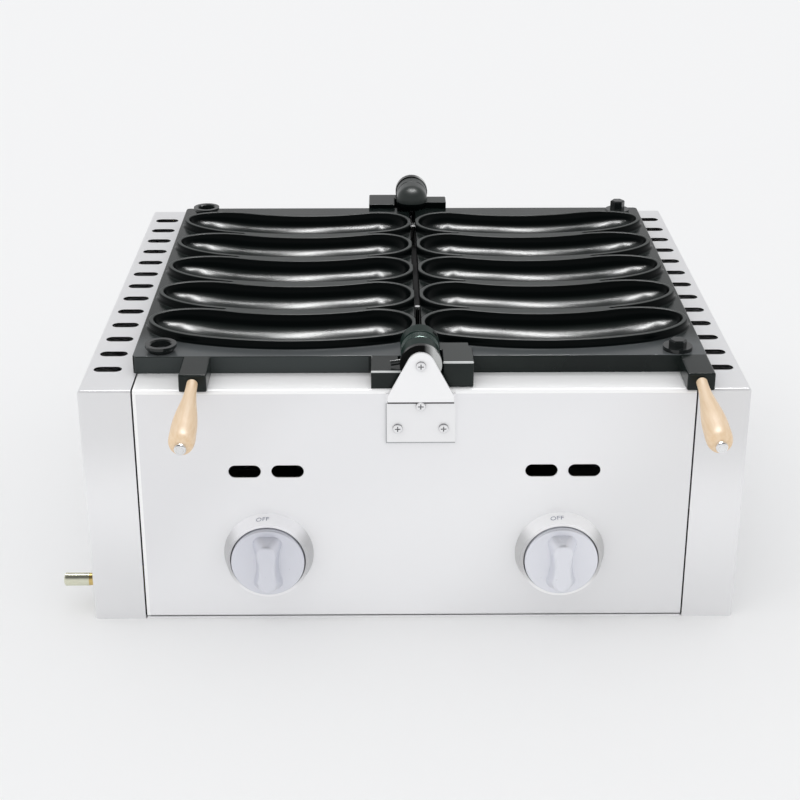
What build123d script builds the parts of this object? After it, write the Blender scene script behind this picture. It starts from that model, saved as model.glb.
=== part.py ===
from build123d import *
import os
from math import asin, atan, cos, degrees, radians, sin

os.makedirs("parts", exist_ok=True)

# A gas cooker for banana-shaped waffles. Two cast-iron mould plates lie open like a book on a
# stainless-steel burner casing and fold onto each other about one front-to-back hinge axis.
# Millimetres. +X is to the right, +Y to the back, +Z up. The origin is the centre of the footprint.

# Casing of bent sheet steel
casing_width = 580.0
casing_depth = 525.0
casing_height = 225.0
sheet = 1.5
column_width = 46.0
bend_radius = 3.0
deck_flange = 60.0
deck_lip = 20.0
foot_flange = 22.0
pan_rim = 10.0
pan_edge_gap = 1.0
shield_recess = 5.0

# Vent slots in the tops of the side columns
deck_slot_count = 13
deck_slot_pitch = 36.6
deck_slot_length = 25.0
deck_slot_width = 12.0
deck_slot_edge = 19.5
deck_slot_shift = 6.5

# Lighting slots in the front panel and air slots in the rear panel
light_slot_length = 28.5
light_slot_width = 12.0
light_slot_pitch = 37.6
light_slot_height = 148.0

# Flue slots between the burner chamber and the side columns
flue_slot_count = 7
flue_slot_pitch = 62.0
flue_slot_length = 40.0
flue_slot_width = 14.0
flue_slot_height = 185.0

# Hinge axis
hinge_offset = 5.0
hinge_rise = 24.0
pivot_radius = 6.0
fit_clearance = 0.05
knuckle_radius = 17.0
swing_clearance = 1.5
knuckle_gap = 0.3
arm_side_gap = 2.0
arm_root = 3.0
arm_width = 42.7
arm_width_right = 45.6
arm_corner = 6.0
right_arm_inset = 6.0
rear_arm_width = 48.0
rear_arm_width_right = 38.0
rear_arm_drop = 2.5
left_knuckle_length = 18.7
right_knuckle_length = 17.0
spacer_length = 12.4
rear_dome_overlap = 13.0
rear_right_knuckle = 20.0
rear_left_knuckle = 15.0
rear_pin_tip = 9.0

# Mould plates
plate_width = 249.25
plate_length = 444.0
plate_thickness = 16.2
plate_front_inset = 39.0
axis_gap = 2.75
parting_gap = 1.0
plate_corner = 4.0
skirt_wall = 10.0
plate_skin = 8.2

# Banana moulds
mould_rows = 5
mould_pitch = 76.3
front_row_inset = 52.5
mould_bend = 240.0
mould_half_width = 31.0
mould_depth = 19.0
mould_tip_length = 55.0
mould_chord = 152.0
mould_wall = 5.0
mould_end_margin = 3.2
rim_width = 4.5
land_width = 22.0
land_half_length = 74.0

# Locating studs and cups at the outer corners of the plates
locator_distance = 228.0
locator_inset = 14.0
locator_back_inset = 17.0
cup_radius = 14.0
cup_height = 6.8
cup_flare_height = 4.3
cup_hole_radius = 9.0
cup_wall = 2.0
cup_depth = 9.3
cup_lead_in = 1.2
stud_base_radius = 13.0
stud_base_height = 3.5
stud_spigot_radius = 8.0
stud_radius = 7.9
front_stud_rise = 2.0
rear_stud_rise = 6.0
stud_chamfer = 1.2
locator_spigot = 4.0

# Wooden handles
lug_width = 24.0
lug_reach = 43.0
lug_corner = 3.0
left_lug_distance = 195.0
handle_rise = 8.5
handle_droop = 9.0
handle_length = 98.0
handle_neck_radius = 4.8
handle_end_radius = 10.8
handle_bulge = 24.0
rod_radius = 3.0
rod_depth = 16.0
nut_radius = 5.0
nut_length = 4.0
nut_rounding = 1.5

# Brackets that carry the hinge
bracket_width = 60.0
bracket_drop = 49.0
bracket_sheet = 2.0
bracket_lap = 7.0
pivot_plate_thickness = 2.5
pivot_plate_drop = 9.5
pivot_plate_base = 57.0
pivot_plate_shoulder = 5.0
apex_radius = 12.0
washer_radius = 18.0
washer_overlap = 3.0
screw_head_radius = 4.25
screw_head_height = 2.2
screw_head_rounding = 1.2
screw_radius = 2.5
screw_length = 9.0
bracket_screw_spread = 39.7
bracket_screw_margin = 14.0
pivot_screw_length = 16.0
set_screw_radius = 2.5
set_screw_gap = 1.0
set_screw_tilt = 9.0
set_screw_stand_out = 9.0
right_screw_tilt = 40.0

# Rail and pins below the gap between the plates
rail_width = 20.0
rail_height = 20.0
rail_wall = 1.5
rail_top_drop = 4.0
gap_pin_radius = 1.8
gap_pin_head_radius = 2.4
gap_pin_head_height = 2.5
gap_pin_rise = 17.0
front_gap_pin = 155.0
rear_gap_pin = 405.0

# Gas taps and their knobs
tap_distance = 130.0
tap_height = 67.0
valve_radius = 12.0
valve_front = 6.0
valve_back = 50.0
gland_inset = 3.0
gland_radius = 10.0
gland_spigot = 2.0
plug_radius = 8.0
plug_length = 28.0
plug_socket = 11.5
spindle_radius = 4.0
spindle_flat = 3.3
spindle_in_knob = 18.5
spindle_in_plug = 5.2
spindle_hole_radius = 5.5
outlet_radius = 4.0
stub_radius = 7.0
inlet_port_inset = 24.0
port_bore = 2.5
low_port_bore = 0.8
jet_radius = 5.5
jet_length = 12.0
jet_spigot = 6.0
jet_passage = 2.0
jet_bore = 0.8
spring_wire_radius = 0.35
spring_turns = 4
knob_radius = 32.5
knob_front = 19.0
knob_thickness = 11.0
knob_chamfer = 2.0
grip_length = 53.0
grip_width = 26.0
grip_waist = 20.0
grip_corner = 6.0
grip_height = 14.5
grip_taper = 12.0
bezel_radius = 40.0
bezel_front_radius = 36.0
bezel_bore_gap = 1.0
bezel_depth = 15.0

# Gas rail and inlet
gas_rail_side = 18.0
gas_rail_bore = 6.0
gas_rail_inset = 20.0
gas_rail_height = 30.0
gas_rail_left = 262.0
gas_rail_right = 165.0
rail_hole_margin = 1.0
strap_width = 18.0
strap_distance = 80.0
strap_reach = 18.0
fitting_spigot = 10.0
collar_length = 6.0
collar_flats = 17.0
inlet_neck_radius = 5.7
inlet_neck_proud = 6.0
inlet_radius = 6.0
inlet_bore = 4.0
inlet_proud = 28.5
inlet_hole_radius = 6.5
nipple_bore = 3.0
nipple_chamfer = 1.0

# Tube burners
burner_start = 68.0
burner_end = 462.0
burner_radius = 16.0
burner_wall = 2.0
mouth_radius = 19.0
mouth_length = 14.0
throat_radius = 11.0
throat_start = 104.0
throat_end = 124.0
barrel_start = 160.0
port_radius = 1.6
port_rows = 26
port_pitch = 11.0
port_angle = 25.0
shutter_wall = 1.5
shutter_skirt = 12.0
shutter_hole = 7.0
shutter_window = 4.0
shutter_window_distance = 13.0
support_front = 172.0
support_rear = 440.0
support_foot = 15.0

# Places worked out from the sizes
front = -casing_depth / 2
back = casing_depth / 2
hinge_height = casing_height + hinge_rise
panel_half = casing_width / 2 - column_width - sheet
rim_top = hinge_height - parting_gap / 2
base_top = casing_height + plate_thickness
cup_mouth = base_top + cup_height
cup_foot_radius = cup_hole_radius + cup_wall
cup_flare = degrees(atan((cup_radius - cup_foot_radius) / cup_flare_height))
plate_start = front + plate_front_inset
plate_end = plate_start + plate_length
plate_edge = axis_gap + plate_width
mould_centre = axis_gap + mould_end_margin + mould_half_width + mould_chord / 2
mould_turn = degrees(asin(mould_chord / 2 / mould_bend))
swing_radius = knuckle_radius + swing_clearance
arm_side = knuckle_radius + arm_side_gap
left_knuckle_start = front + washer_overlap + knuckle_gap
left_knuckle_end = left_knuckle_start + left_knuckle_length
spacer_start = left_knuckle_end + knuckle_gap
spacer_end = spacer_start + spacer_length
right_knuckle_start = spacer_end + knuckle_gap
right_knuckle_end = right_knuckle_start + right_knuckle_length
dome_start = plate_end - rear_dome_overlap
rear_right_end = plate_end + rear_right_knuckle
rear_left_start = rear_right_end + 4 * knuckle_gap
rear_left_end = rear_left_start + rear_left_knuckle
rear_pin_start = dome_start + rear_pin_tip
right_arm_start = front + right_arm_inset
rail_top = casing_height - rail_top_drop
right_lug_distance = plate_edge - lug_width / 2
lug_front = plate_start - lug_reach
pan_top = sheet
plug_start = front + valve_front + gland_spigot
plug_end = plug_start + plug_length
gland_start = front + gland_inset
knob_back = front - knob_front + knob_thickness
spindle_start = knob_back - spindle_in_knob
spindle_end = plug_start + spindle_in_plug


def across(side, distance):
    """X of a point on the left (-1) or right (+1) plate, at this distance from the hinge axis."""
    return hinge_offset + side * distance


def facing_front(x, y, z):
    """A sketch plane that looks at the front, with its own X along +X and its Y along +Z."""
    return Plane(origin=(x, y, z), x_dir=(1, 0, 0), z_dir=(0, -1, 0))


def rod_between(x, z, y_start, y_end, radius):
    """A round bar along Y."""
    with BuildPart() as rod:
        with BuildSketch(facing_front(x, y_end, z)):
            Circle(radius)
        extrude(amount=y_end - y_start)
    return rod.part


# Side columns, each a bent steel channel closed on its inner side by the heat shield
def build_side_panel(side):
    centre = side * (casing_width - column_width) / 2
    with BuildPart() as panel:
        with BuildSketch(Plane.XY):
            with Locations((centre, 0)):
                Rectangle(column_width, casing_depth)
        extrude(amount=casing_height)
        outer_faces = panel.faces().filter_by(Axis.X).sort_by(Axis.X)
        outer_face = outer_faces[-1] if side > 0 else outer_faces[0]
        inner_face = outer_faces[0] if side > 0 else outer_faces[-1]
        bends = outer_face.edges() + panel.edges().filter_by(Axis.X).group_by(Axis.Z)[-1]
        floor_edges = panel.edges().group_by(Axis.Z)[0]
        fillet([edge for edge in bends if edge not in floor_edges], bend_radius)
        outer_faces = panel.faces().filter_by(Axis.X).sort_by(Axis.X)
        inner_face = outer_faces[0] if side > 0 else outer_faces[-1]
        offset(amount=-sheet, openings=inner_face)
        with BuildSketch(Plane.XY.offset(casing_height)):
            with Locations((side * (casing_width / 2 - deck_slot_edge), deck_slot_shift)):
                with GridLocations(1, deck_slot_pitch, 1, deck_slot_count):
                    SlotOverall(deck_slot_length, deck_slot_width)
        extrude(amount=-2 * sheet, mode=Mode.SUBTRACT)
        if side < 0:
            with BuildSketch(Plane.YZ.offset(-casing_width / 2)):
                with Locations((front + gas_rail_inset, gas_rail_height)):
                    Circle(inlet_hole_radius)
            extrude(amount=2 * sheet, mode=Mode.SUBTRACT)
    return panel.part


side_panel_left = build_side_panel(-1)
side_panel_right = build_side_panel(1)


# Front and rear panels, each bent back at the top as a ledge that the mould plates rest on
def build_cross_panel(facing):
    wall = facing * (casing_depth / 2 - sheet / 2)
    top = casing_height - sheet / 2
    bottom = pan_top + sheet / 2
    lip = facing * (casing_depth / 2 - deck_flange + sheet / 2)
    with BuildPart() as panel:
        with BuildSketch(Plane.YZ):
            with BuildLine():
                FilletPolyline(
                    (wall - facing * foot_flange, bottom),
                    (wall, bottom),
                    (wall, top),
                    (lip, top),
                    (lip, top - deck_lip),
                    radius=bend_radius,
                )
            trace(line_width=sheet)
        extrude(amount=panel_half, both=True)
        with BuildSketch(Plane.XZ.offset(-wall)):
            for side in (-1, 1):
                with Locations((side * tap_distance, light_slot_height)):
                    with GridLocations(light_slot_pitch, 1, 2, 1):
                        SlotOverall(light_slot_length, light_slot_width)
            with Locations((hinge_offset, casing_height - bracket_screw_margin)):
                Circle(screw_radius + fit_clearance)
            with Locations((hinge_offset, casing_height + bracket_screw_margin - bracket_drop)):
                with GridLocations(bracket_screw_spread, 1, 2, 1):
                    Circle(screw_radius + fit_clearance)
        extrude(amount=2 * sheet, both=True, mode=Mode.SUBTRACT)
    return panel.part


rear_panel = build_cross_panel(1)
front_sheet = build_cross_panel(-1)

with BuildPart() as front_panel:
    add(front_sheet)
    with BuildSketch(facing_front(0, front + 2 * sheet, tap_height)):
        with Locations((-tap_distance, 0), (tap_distance, 0)):
            Circle(spindle_hole_radius)
    extrude(amount=3 * sheet, mode=Mode.SUBTRACT)


# Floor pan under the bottom flanges, with a rim along each heat shield
with BuildPart() as base_pan:
    with BuildSketch(Plane.XY):
        Rectangle(2 * panel_half, casing_depth - 2 * pan_edge_gap)
    extrude(amount=pan_top)
    with BuildSketch(Plane.XY.offset(pan_top)):
        with GridLocations(2 * panel_half - sheet, 1, 2, 1):
            Rectangle(sheet, casing_depth - 2 * (foot_flange + pan_edge_gap))
    extrude(amount=pan_rim)


# Heat shields that close the side columns and form the burner chamber
def build_heat_shield(side):
    inner_x = side * (panel_half + sheet / 2)
    low = sheet
    high = casing_height - shield_recess
    with BuildPart() as shield:
        with BuildSketch(Plane.YZ.offset(inner_x)):
            with Locations((0, (low + high) / 2)):
                Rectangle(casing_depth - 2 * shield_recess, high - low)
            with Locations((0, flue_slot_height)):
                with GridLocations(flue_slot_pitch, 1, flue_slot_count, 1):
                    SlotOverall(flue_slot_length, flue_slot_width, mode=Mode.SUBTRACT)
            if side < 0:
                with Locations((front + gas_rail_inset, gas_rail_height)):
                    hole_side = gas_rail_side + 2 * rail_hole_margin
                    Rectangle(hole_side, hole_side, mode=Mode.SUBTRACT)
        extrude(amount=sheet / 2, both=True)
    return shield.part


heat_shield_left = build_heat_shield(-1)
heat_shield_right = build_heat_shield(1)


# Square tube under the gap between the plates, and the two pins that stand up in that gap
with BuildPart() as centre_rail:
    rail_start = front + deck_flange
    rail_end = back - deck_flange
    with BuildSketch(facing_front(hinge_offset, rail_end, rail_top - rail_height / 2)):
        Rectangle(rail_width, rail_height)
        Rectangle(rail_width - 2 * rail_wall, rail_height - 2 * rail_wall, mode=Mode.SUBTRACT)
    extrude(amount=rail_end - rail_start)

with BuildPart() as gap_pins:
    with BuildSketch(Plane.XY.offset(rail_top)):
        with Locations((hinge_offset, front + front_gap_pin), (hinge_offset, front + rear_gap_pin)):
            Circle(gap_pin_radius)
    extrude(amount=casing_height + gap_pin_rise - rail_top)
    with BuildSketch(Plane.XY.offset(casing_height + gap_pin_rise)):
        with Locations((hinge_offset, front + front_gap_pin), (hinge_offset, front + rear_gap_pin)):
            Circle(gap_pin_head_radius)
    extrude(amount=gap_pin_head_height)


# The banana form: a bent round bar with one round and one long end, flattened to the mould's depth
def build_banana(margin):
    radius = mould_half_width + margin
    tip_length = mould_tip_length + margin
    start_angle = radians(-90 - mould_turn)
    end_angle = radians(-90 + mould_turn)
    tip_point = Vector(mould_bend * cos(start_angle), mould_bend * sin(start_angle), 0)
    tip_direction = Vector(sin(start_angle), -cos(start_angle), 0)
    butt_point = Vector(mould_bend * cos(end_angle), mould_bend * sin(end_angle), 0)
    across_start = Plane(
        origin=(0, 0, 0),
        x_dir=(cos(start_angle), sin(start_angle), 0),
        z_dir=(sin(start_angle), -cos(start_angle), 0),
    )
    with BuildPart() as round_form:
        with BuildSketch(across_start):
            with Locations((mould_bend, 0)):
                Circle(radius)
        revolve(axis=Axis.Z, revolution_arc=2 * mould_turn)
        with Locations(butt_point):
            Sphere(radius)
        with BuildSketch(Plane(origin=tip_point, x_dir=tip_direction, z_dir=(0, 0, 1))):
            Ellipse(tip_length, radius)
            Rectangle(
                2 * tip_length, 2 * radius, align=(Align.CENTER, Align.MAX), mode=Mode.SUBTRACT
            )
        revolve(axis=Axis(tip_point, tip_direction))
        scale(by=(1, 1, (mould_depth + margin) / radius))
    return round_form.part


# The bulge on a plate's back, cut off inside the thickness of the slab
def build_bulge():
    outer_form = build_banana(mould_wall)
    with BuildPart() as bulge:
        add(outer_form)
        split(
            bisect_by=Plane.XY.offset(base_top - plate_skin / 2 - rim_top), keep=Keep.BOTTOM
        )
    return bulge.part


# The banana's outline at the parting face, widened by a margin
def draw_banana_outline(margin):
    radius = mould_half_width + margin
    start_angle = radians(-90 - mould_turn)
    tip_point = (mould_bend * cos(start_angle), mould_bend * sin(start_angle))
    with BuildSketch() as outline:
        with BuildLine():
            spine = CenterArc((0, 0), mould_bend, -90 - mould_turn, 2 * mould_turn)
        SlotArc(spine, 2 * radius)
        with Locations(Location((*tip_point, 0), (0, 0, -mould_turn))):
            Ellipse(mould_tip_length + margin, radius)
    return outline.sketch


# Land that joins two neighbouring moulds along their middles
def draw_land():
    half_angle = degrees(asin(land_half_length / mould_bend))
    with BuildSketch() as land:
        with BuildLine():
            spine = CenterArc((0, 0), mould_bend, -90 - half_angle, 2 * half_angle)
        SlotArc(spine, land_width)
    return land.sketch


# One plate's casting as the left plate has it: slab, raised rims, hollow back and five moulds
def build_mould_field():
    middle_x = across(-1, axis_gap + plate_width / 2)
    middle_y = (plate_start + plate_end) / 2
    banana_x = across(-1, mould_centre)
    first_row = plate_start + front_row_inset + mould_bend
    rows = [(banana_x, first_row + row * mould_pitch) for row in range(mould_rows)]
    lands = [(x, y + mould_pitch / 2) for x, y in rows[:-1]]
    rim_outline = draw_banana_outline(rim_width)
    land_outline = draw_land()
    bulge = build_bulge()
    banana = build_banana(0)
    with BuildPart() as field:
        with BuildSketch(Plane.XY.offset(casing_height)):
            with Locations((middle_x, middle_y)):
                RectangleRounded(plate_width, plate_length, plate_corner)
        extrude(amount=plate_thickness)
        with BuildSketch(Plane.XY.offset(casing_height)):
            with Locations((middle_x, middle_y)):
                Rectangle(plate_width - 2 * skirt_wall, plate_length - 2 * skirt_wall)
        extrude(amount=plate_thickness - plate_skin, mode=Mode.SUBTRACT)
        with BuildSketch(Plane.XY.offset(base_top)):
            with Locations(rows):
                add(rim_outline)
            with Locations(lands):
                add(land_outline)
        extrude(amount=rim_top - base_top)
        with Locations([(x, y, rim_top) for x, y in rows]):
            add(bulge)
        with BuildSketch(Plane.XY.offset(rim_top)):
            with Locations((across(-1, axis_gap), middle_y)):
                Rectangle(plate_width, 2 * plate_length, align=(Align.MIN, Align.CENTER))
        extrude(amount=-2 * plate_thickness, mode=Mode.SUBTRACT)
        with Locations([(x, y, rim_top) for x, y in rows]):
            add(banana, mode=Mode.SUBTRACT)
    return field.part


def mirror_piece(piece, plane):
    """The same piece on the other side of a plane."""
    with BuildPart() as mirrored:
        add(piece)
        mirror(about=plane, mode=Mode.REPLACE)
    return mirrored.part


# Arms on the casting that reach out to the knuckles
def build_arm(side, inner, outer, y_start, y_end, top, corner=0):
    """A block between two distances from the hinge axis, with its outer lower edge rounded."""
    with BuildPart() as arm:
        with BuildSketch(Plane.XY.offset(casing_height)):
            with Locations((across(side, (inner + outer) / 2), (y_start + y_end) / 2)):
                Rectangle(outer - inner, y_end - y_start)
        extrude(amount=top - casing_height)
        if corner:
            lower_edges = arm.edges().filter_by(Axis.Y).group_by(Axis.Z)[0]
            fillet(lower_edges.sort_by(Axis.X)[-1 if side > 0 else 0], corner)
    return arm.part


# Lug that the handle screws into
def build_lug(side, distance):
    with BuildPart() as lug:
        with BuildSketch(Plane.XY.offset(casing_height)):
            with Locations((across(side, distance), lug_front)):
                Rectangle(lug_width, lug_reach + arm_root, align=(Align.CENTER, Align.MIN))
        extrude(amount=plate_thickness)
        fillet(lug.edges().filter_by(Axis.Z).group_by(Axis.Y)[0], lug_corner)
    return lug.part


def handle_plane(side, distance):
    """At the lug's face, with its normal along the handle."""
    droop = radians(handle_droop)
    return Plane(
        origin=(across(side, distance), lug_front, casing_height + handle_rise),
        x_dir=(1, 0, 0),
        z_dir=(0, -cos(droop), -sin(droop)),
    )


# Round bars and sockets where the cups or studs stand
def build_locator_stack(side, radius, z_start, z_end):
    with BuildPart() as stack:
        with BuildSketch(Plane.XY.offset(z_start)):
            with Locations(
                (across(side, locator_distance), plate_start + locator_inset),
                (across(side, locator_distance), plate_end - locator_back_inset),
            ):
                Circle(radius)
        extrude(amount=z_end - z_start)
    return stack.part


def build_rod(side, distance, radius, start, end):
    """A round bar along a handle, between two distances from the lug's face."""
    with BuildPart() as rod:
        with BuildSketch(handle_plane(side, distance).offset(start)):
            Circle(radius)
        extrude(amount=end - start)
    return rod.part


mould_field_left = build_mould_field()

# Left plate
left_arms = [
    build_arm(-1, 0, arm_width, left_knuckle_start, left_knuckle_end, base_top),
    build_arm(-1, arm_side, arm_width, left_knuckle_start, plate_start + arm_root, base_top),
    build_arm(
        -1, arm_side, rear_arm_width, plate_end - arm_root, rear_left_end, rim_top - rear_arm_drop
    ),
    build_arm(-1, 0, rear_arm_width, rear_left_start, rear_left_end, rim_top - rear_arm_drop),
    rod_between(hinge_offset, hinge_height, left_knuckle_start, left_knuckle_end, knuckle_radius),
    rod_between(hinge_offset, hinge_height, rear_left_start, rear_left_end, knuckle_radius),
    build_lug(-1, left_lug_distance),
]
left_notches = [
    rod_between(
        hinge_offset, hinge_height, front, right_knuckle_end + swing_clearance, swing_radius
    ),
    rod_between(hinge_offset, hinge_height, dome_start - swing_clearance, back, swing_radius),
]
pin_bore = rod_between(
    hinge_offset, hinge_height, front, right_knuckle_end + 1, pivot_radius + fit_clearance
)
rear_pin_bore = rod_between(
    hinge_offset, hinge_height, rear_pin_start, back, pivot_radius + fit_clearance
)
cup_sockets = build_locator_stack(
    -1, cup_foot_radius + fit_clearance, base_top - locator_spigot, base_top
)
left_rod_hole = build_rod(
    -1, left_lug_distance, rod_radius + fit_clearance, -rod_depth, handle_neck_radius
)


def build_set_screw(side, y, tilt, radius, start, end):
    """A round bar square to the hinge axis, between two distances from it."""
    direction = (side * cos(radians(tilt)), 0, sin(radians(tilt)))
    plane = Plane(origin=(hinge_offset, y, hinge_height), x_dir=(0, 1, 0), z_dir=direction)
    with BuildPart() as bar:
        with BuildSketch(plane.offset(start)):
            Circle(radius)
        extrude(amount=end - start)
    return bar.part


set_screw_start = pivot_radius + set_screw_gap
left_screw_y = (left_knuckle_start + left_knuckle_end) / 2
right_screw_y = (right_knuckle_start + right_knuckle_end) / 2
set_screw_hole_radius = set_screw_radius + fit_clearance
set_screw_left = build_set_screw(
    -1,
    left_screw_y,
    -set_screw_tilt,
    set_screw_radius,
    set_screw_start,
    knuckle_radius + set_screw_stand_out,
)
set_screw_right = build_set_screw(
    1,
    right_screw_y,
    right_screw_tilt,
    set_screw_radius,
    set_screw_start,
    knuckle_radius + swing_clearance / 2,
)
left_screw_hole = build_set_screw(
    -1, left_screw_y, -set_screw_tilt, set_screw_hole_radius, pivot_radius, swing_radius
)
right_screw_hole = build_set_screw(
    1, right_screw_y, right_screw_tilt, set_screw_hole_radius, pivot_radius, swing_radius
)

with BuildPart() as mould_plate_left:
    add(mould_field_left)
    for notch in left_notches:
        add(notch, mode=Mode.SUBTRACT)
    for arm in left_arms:
        add(arm)
    add(pin_bore, mode=Mode.SUBTRACT)
    add(rear_pin_bore, mode=Mode.SUBTRACT)
    add(cup_sockets, mode=Mode.SUBTRACT)
    add(left_rod_hole, mode=Mode.SUBTRACT)
    add(left_screw_hole, mode=Mode.SUBTRACT)


# Right plate, with the middle knuckle at the front and the domed one at the back
right_arms = [
    build_arm(
        1,
        arm_side,
        arm_width_right,
        right_arm_start,
        plate_start + arm_root,
        rim_top,
        arm_corner,
    ),
    build_arm(1, 0, arm_width, right_knuckle_start, right_knuckle_end, rim_top),
    build_arm(1, 0, rear_arm_width_right, plate_end - arm_root, rear_right_end, rim_top),
    rod_between(
        hinge_offset, hinge_height, right_knuckle_start, right_knuckle_end, knuckle_radius
    ),
    rod_between(
        hinge_offset, hinge_height, dome_start + knuckle_radius, rear_right_end, knuckle_radius
    ),
    build_lug(1, right_lug_distance),
]
stud_sockets = build_locator_stack(
    1, stud_spigot_radius + fit_clearance, base_top - locator_spigot, base_top
)
right_rod_hole = build_rod(
    1, right_lug_distance, rod_radius + fit_clearance, -rod_depth, handle_neck_radius
)
mould_field_right = mirror_piece(mould_field_left, Plane.YZ.offset(hinge_offset))

with BuildPart() as mould_plate_right:
    add(mould_field_right)
    for arm in right_arms:
        add(arm)
    with Locations((hinge_offset, dome_start + knuckle_radius, hinge_height)):
        Sphere(knuckle_radius)
    add(pin_bore, mode=Mode.SUBTRACT)
    add(rear_pin_bore, mode=Mode.SUBTRACT)
    add(stud_sockets, mode=Mode.SUBTRACT)
    add(right_rod_hole, mode=Mode.SUBTRACT)
    add(right_screw_hole, mode=Mode.SUBTRACT)


# Flared cups on the left plate and the hexagonal studs that meet them when the cooker is shut
cup_rims = build_locator_stack(-1, cup_radius, base_top + cup_flare_height, cup_mouth)
cup_spigots = build_locator_stack(-1, cup_foot_radius, base_top - locator_spigot, base_top)
cup_holes = build_locator_stack(-1, cup_hole_radius, cup_mouth - cup_depth, cup_mouth)
stud_flanges = build_locator_stack(1, stud_base_radius, base_top, base_top + stud_base_height)
stud_spigots = build_locator_stack(1, stud_spigot_radius, base_top - locator_spigot, base_top)

with BuildPart() as locating_cups:
    with BuildSketch(Plane.XY.offset(base_top)):
        with Locations(
            (across(-1, locator_distance), plate_start + locator_inset),
            (across(-1, locator_distance), plate_end - locator_back_inset),
        ):
            Circle(cup_foot_radius)
    extrude(amount=cup_flare_height, taper=-cup_flare)
    add(cup_rims)
    add(cup_spigots)
    add(cup_holes, mode=Mode.SUBTRACT)
    mouth_edges = locating_cups.edges().filter_by(GeomType.CIRCLE).group_by(Axis.Z)[-1]
    chamfer([edge for edge in mouth_edges if edge.radius < cup_foot_radius], cup_lead_in)


def build_stud(y, rise):
    """A hexagonal stud through its flange, standing this much above the parting face."""
    with BuildPart() as stud:
        with BuildSketch(Plane.XY.offset(base_top)):
            with Locations((across(1, locator_distance), y)):
                RegularPolygon(stud_radius, 6)
        extrude(amount=rim_top + rise - base_top)
        chamfer(stud.edges().group_by(Axis.Z)[-1], stud_chamfer)
    return stud.part


front_stud = build_stud(plate_start + locator_inset, front_stud_rise)
rear_stud = build_stud(plate_end - locator_back_inset, rear_stud_rise)

with BuildPart() as locating_studs:
    add(stud_flanges)
    add(stud_spigots)
    add(front_stud)
    add(rear_stud)


# Handles: a steel rod screwed into the lug, a turned wooden grip and a round nut
def build_grip(side, distance):
    droop = radians(handle_droop)
    bore = rod_radius + fit_clearance
    seat = handle_neck_radius * sin(droop) + fit_clearance
    swell = handle_length - handle_bulge
    plane = Plane(
        origin=handle_plane(side, distance).origin,
        x_dir=(1, 0, 0),
        z_dir=(0, sin(droop), -cos(droop)),
    )
    with BuildPart() as grip:
        with BuildSketch(plane):
            with BuildLine():
                Polyline((bore, seat), (handle_neck_radius, seat), (handle_neck_radius, seat + 4))
                Spline(
                    (handle_neck_radius, seat + 4),
                    (handle_end_radius, swell),
                    tangents=((0, 1), (0, 1)),
                )
                Spline(
                    (handle_end_radius, swell),
                    (nut_radius, handle_length),
                    tangents=((0, 1), (-1, 0.3)),
                )
                Polyline((nut_radius, handle_length), (bore, handle_length), (bore, seat))
            make_face()
        revolve(axis=Axis(plane.origin, plane.y_dir))
    return grip.part


def build_nut(side, distance):
    nut_end = handle_length + nut_length
    blank = build_rod(side, distance, nut_radius, handle_length, nut_end)
    bore = build_rod(side, distance, rod_radius + fit_clearance, handle_length, nut_end)
    with BuildPart() as nut:
        add(blank)
        fillet(nut.edges().group_by(Axis.Y)[0], nut_rounding)
        add(bore, mode=Mode.SUBTRACT)
    return nut.part


handle_grip_left = build_grip(-1, left_lug_distance)
handle_grip_right = build_grip(1, right_lug_distance)
handle_nut_left = build_nut(-1, left_lug_distance)
handle_nut_right = build_nut(1, right_lug_distance)
handle_rod_left = build_rod(
    -1, left_lug_distance, rod_radius, -rod_depth, handle_length + nut_length
)
handle_rod_right = build_rod(
    1, right_lug_distance, rod_radius, -rod_depth, handle_length + nut_length
)


# Hinge support at the front: a screwed bracket, a triangle on it, the pin, a washer and a ring
with BuildPart() as hinge_bracket_front:
    with BuildSketch(facing_front(hinge_offset, front, casing_height)):
        with Locations((0, -bracket_drop)):
            Rectangle(
                bracket_width,
                bracket_drop - pivot_plate_drop + bracket_lap,
                align=(Align.CENTER, Align.MIN),
            )
        with Locations((0, -bracket_screw_margin)):
            Circle(screw_radius + fit_clearance, mode=Mode.SUBTRACT)
        with Locations((0, bracket_screw_margin - bracket_drop)):
            with GridLocations(bracket_screw_spread, 1, 2, 1):
                Circle(screw_radius + fit_clearance, mode=Mode.SUBTRACT)
    extrude(amount=bracket_sheet)

with BuildPart() as pivot_plate_front:
    with BuildSketch(facing_front(hinge_offset, front - bracket_sheet, hinge_height)):
        Circle(apex_radius)
        with Locations((0, -hinge_rise - pivot_plate_drop)):
            Rectangle(pivot_plate_base, pivot_plate_shoulder, align=(Align.CENTER, Align.MIN))
        make_hull()
        Circle(screw_radius + fit_clearance, mode=Mode.SUBTRACT)
    extrude(amount=pivot_plate_thickness)


def build_pin(y_start, y_end, screw_end):
    """A hinge pin with a tapped hole in the end at screw_end."""
    hole_depth = pivot_screw_length - pivot_plate_thickness + 1
    if screw_end == y_start:
        hole_start = y_start
    else:
        hole_start = y_end - hole_depth
    blank = rod_between(hinge_offset, hinge_height, y_start, y_end, pivot_radius)
    hole = rod_between(
        hinge_offset, hinge_height, hole_start, hole_start + hole_depth, screw_radius + fit_clearance
    )
    with BuildPart() as pin:
        add(blank)
        add(hole, mode=Mode.SUBTRACT)
    return pin.part


def build_ring(radius, y_start, y_end):
    """A ring around the hinge pin."""
    blank = rod_between(hinge_offset, hinge_height, y_start, y_end, radius)
    bore = rod_between(hinge_offset, hinge_height, y_start, y_end, pivot_radius + fit_clearance)
    with BuildPart() as ring:
        add(blank)
        add(bore, mode=Mode.SUBTRACT)
    return ring.part


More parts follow.
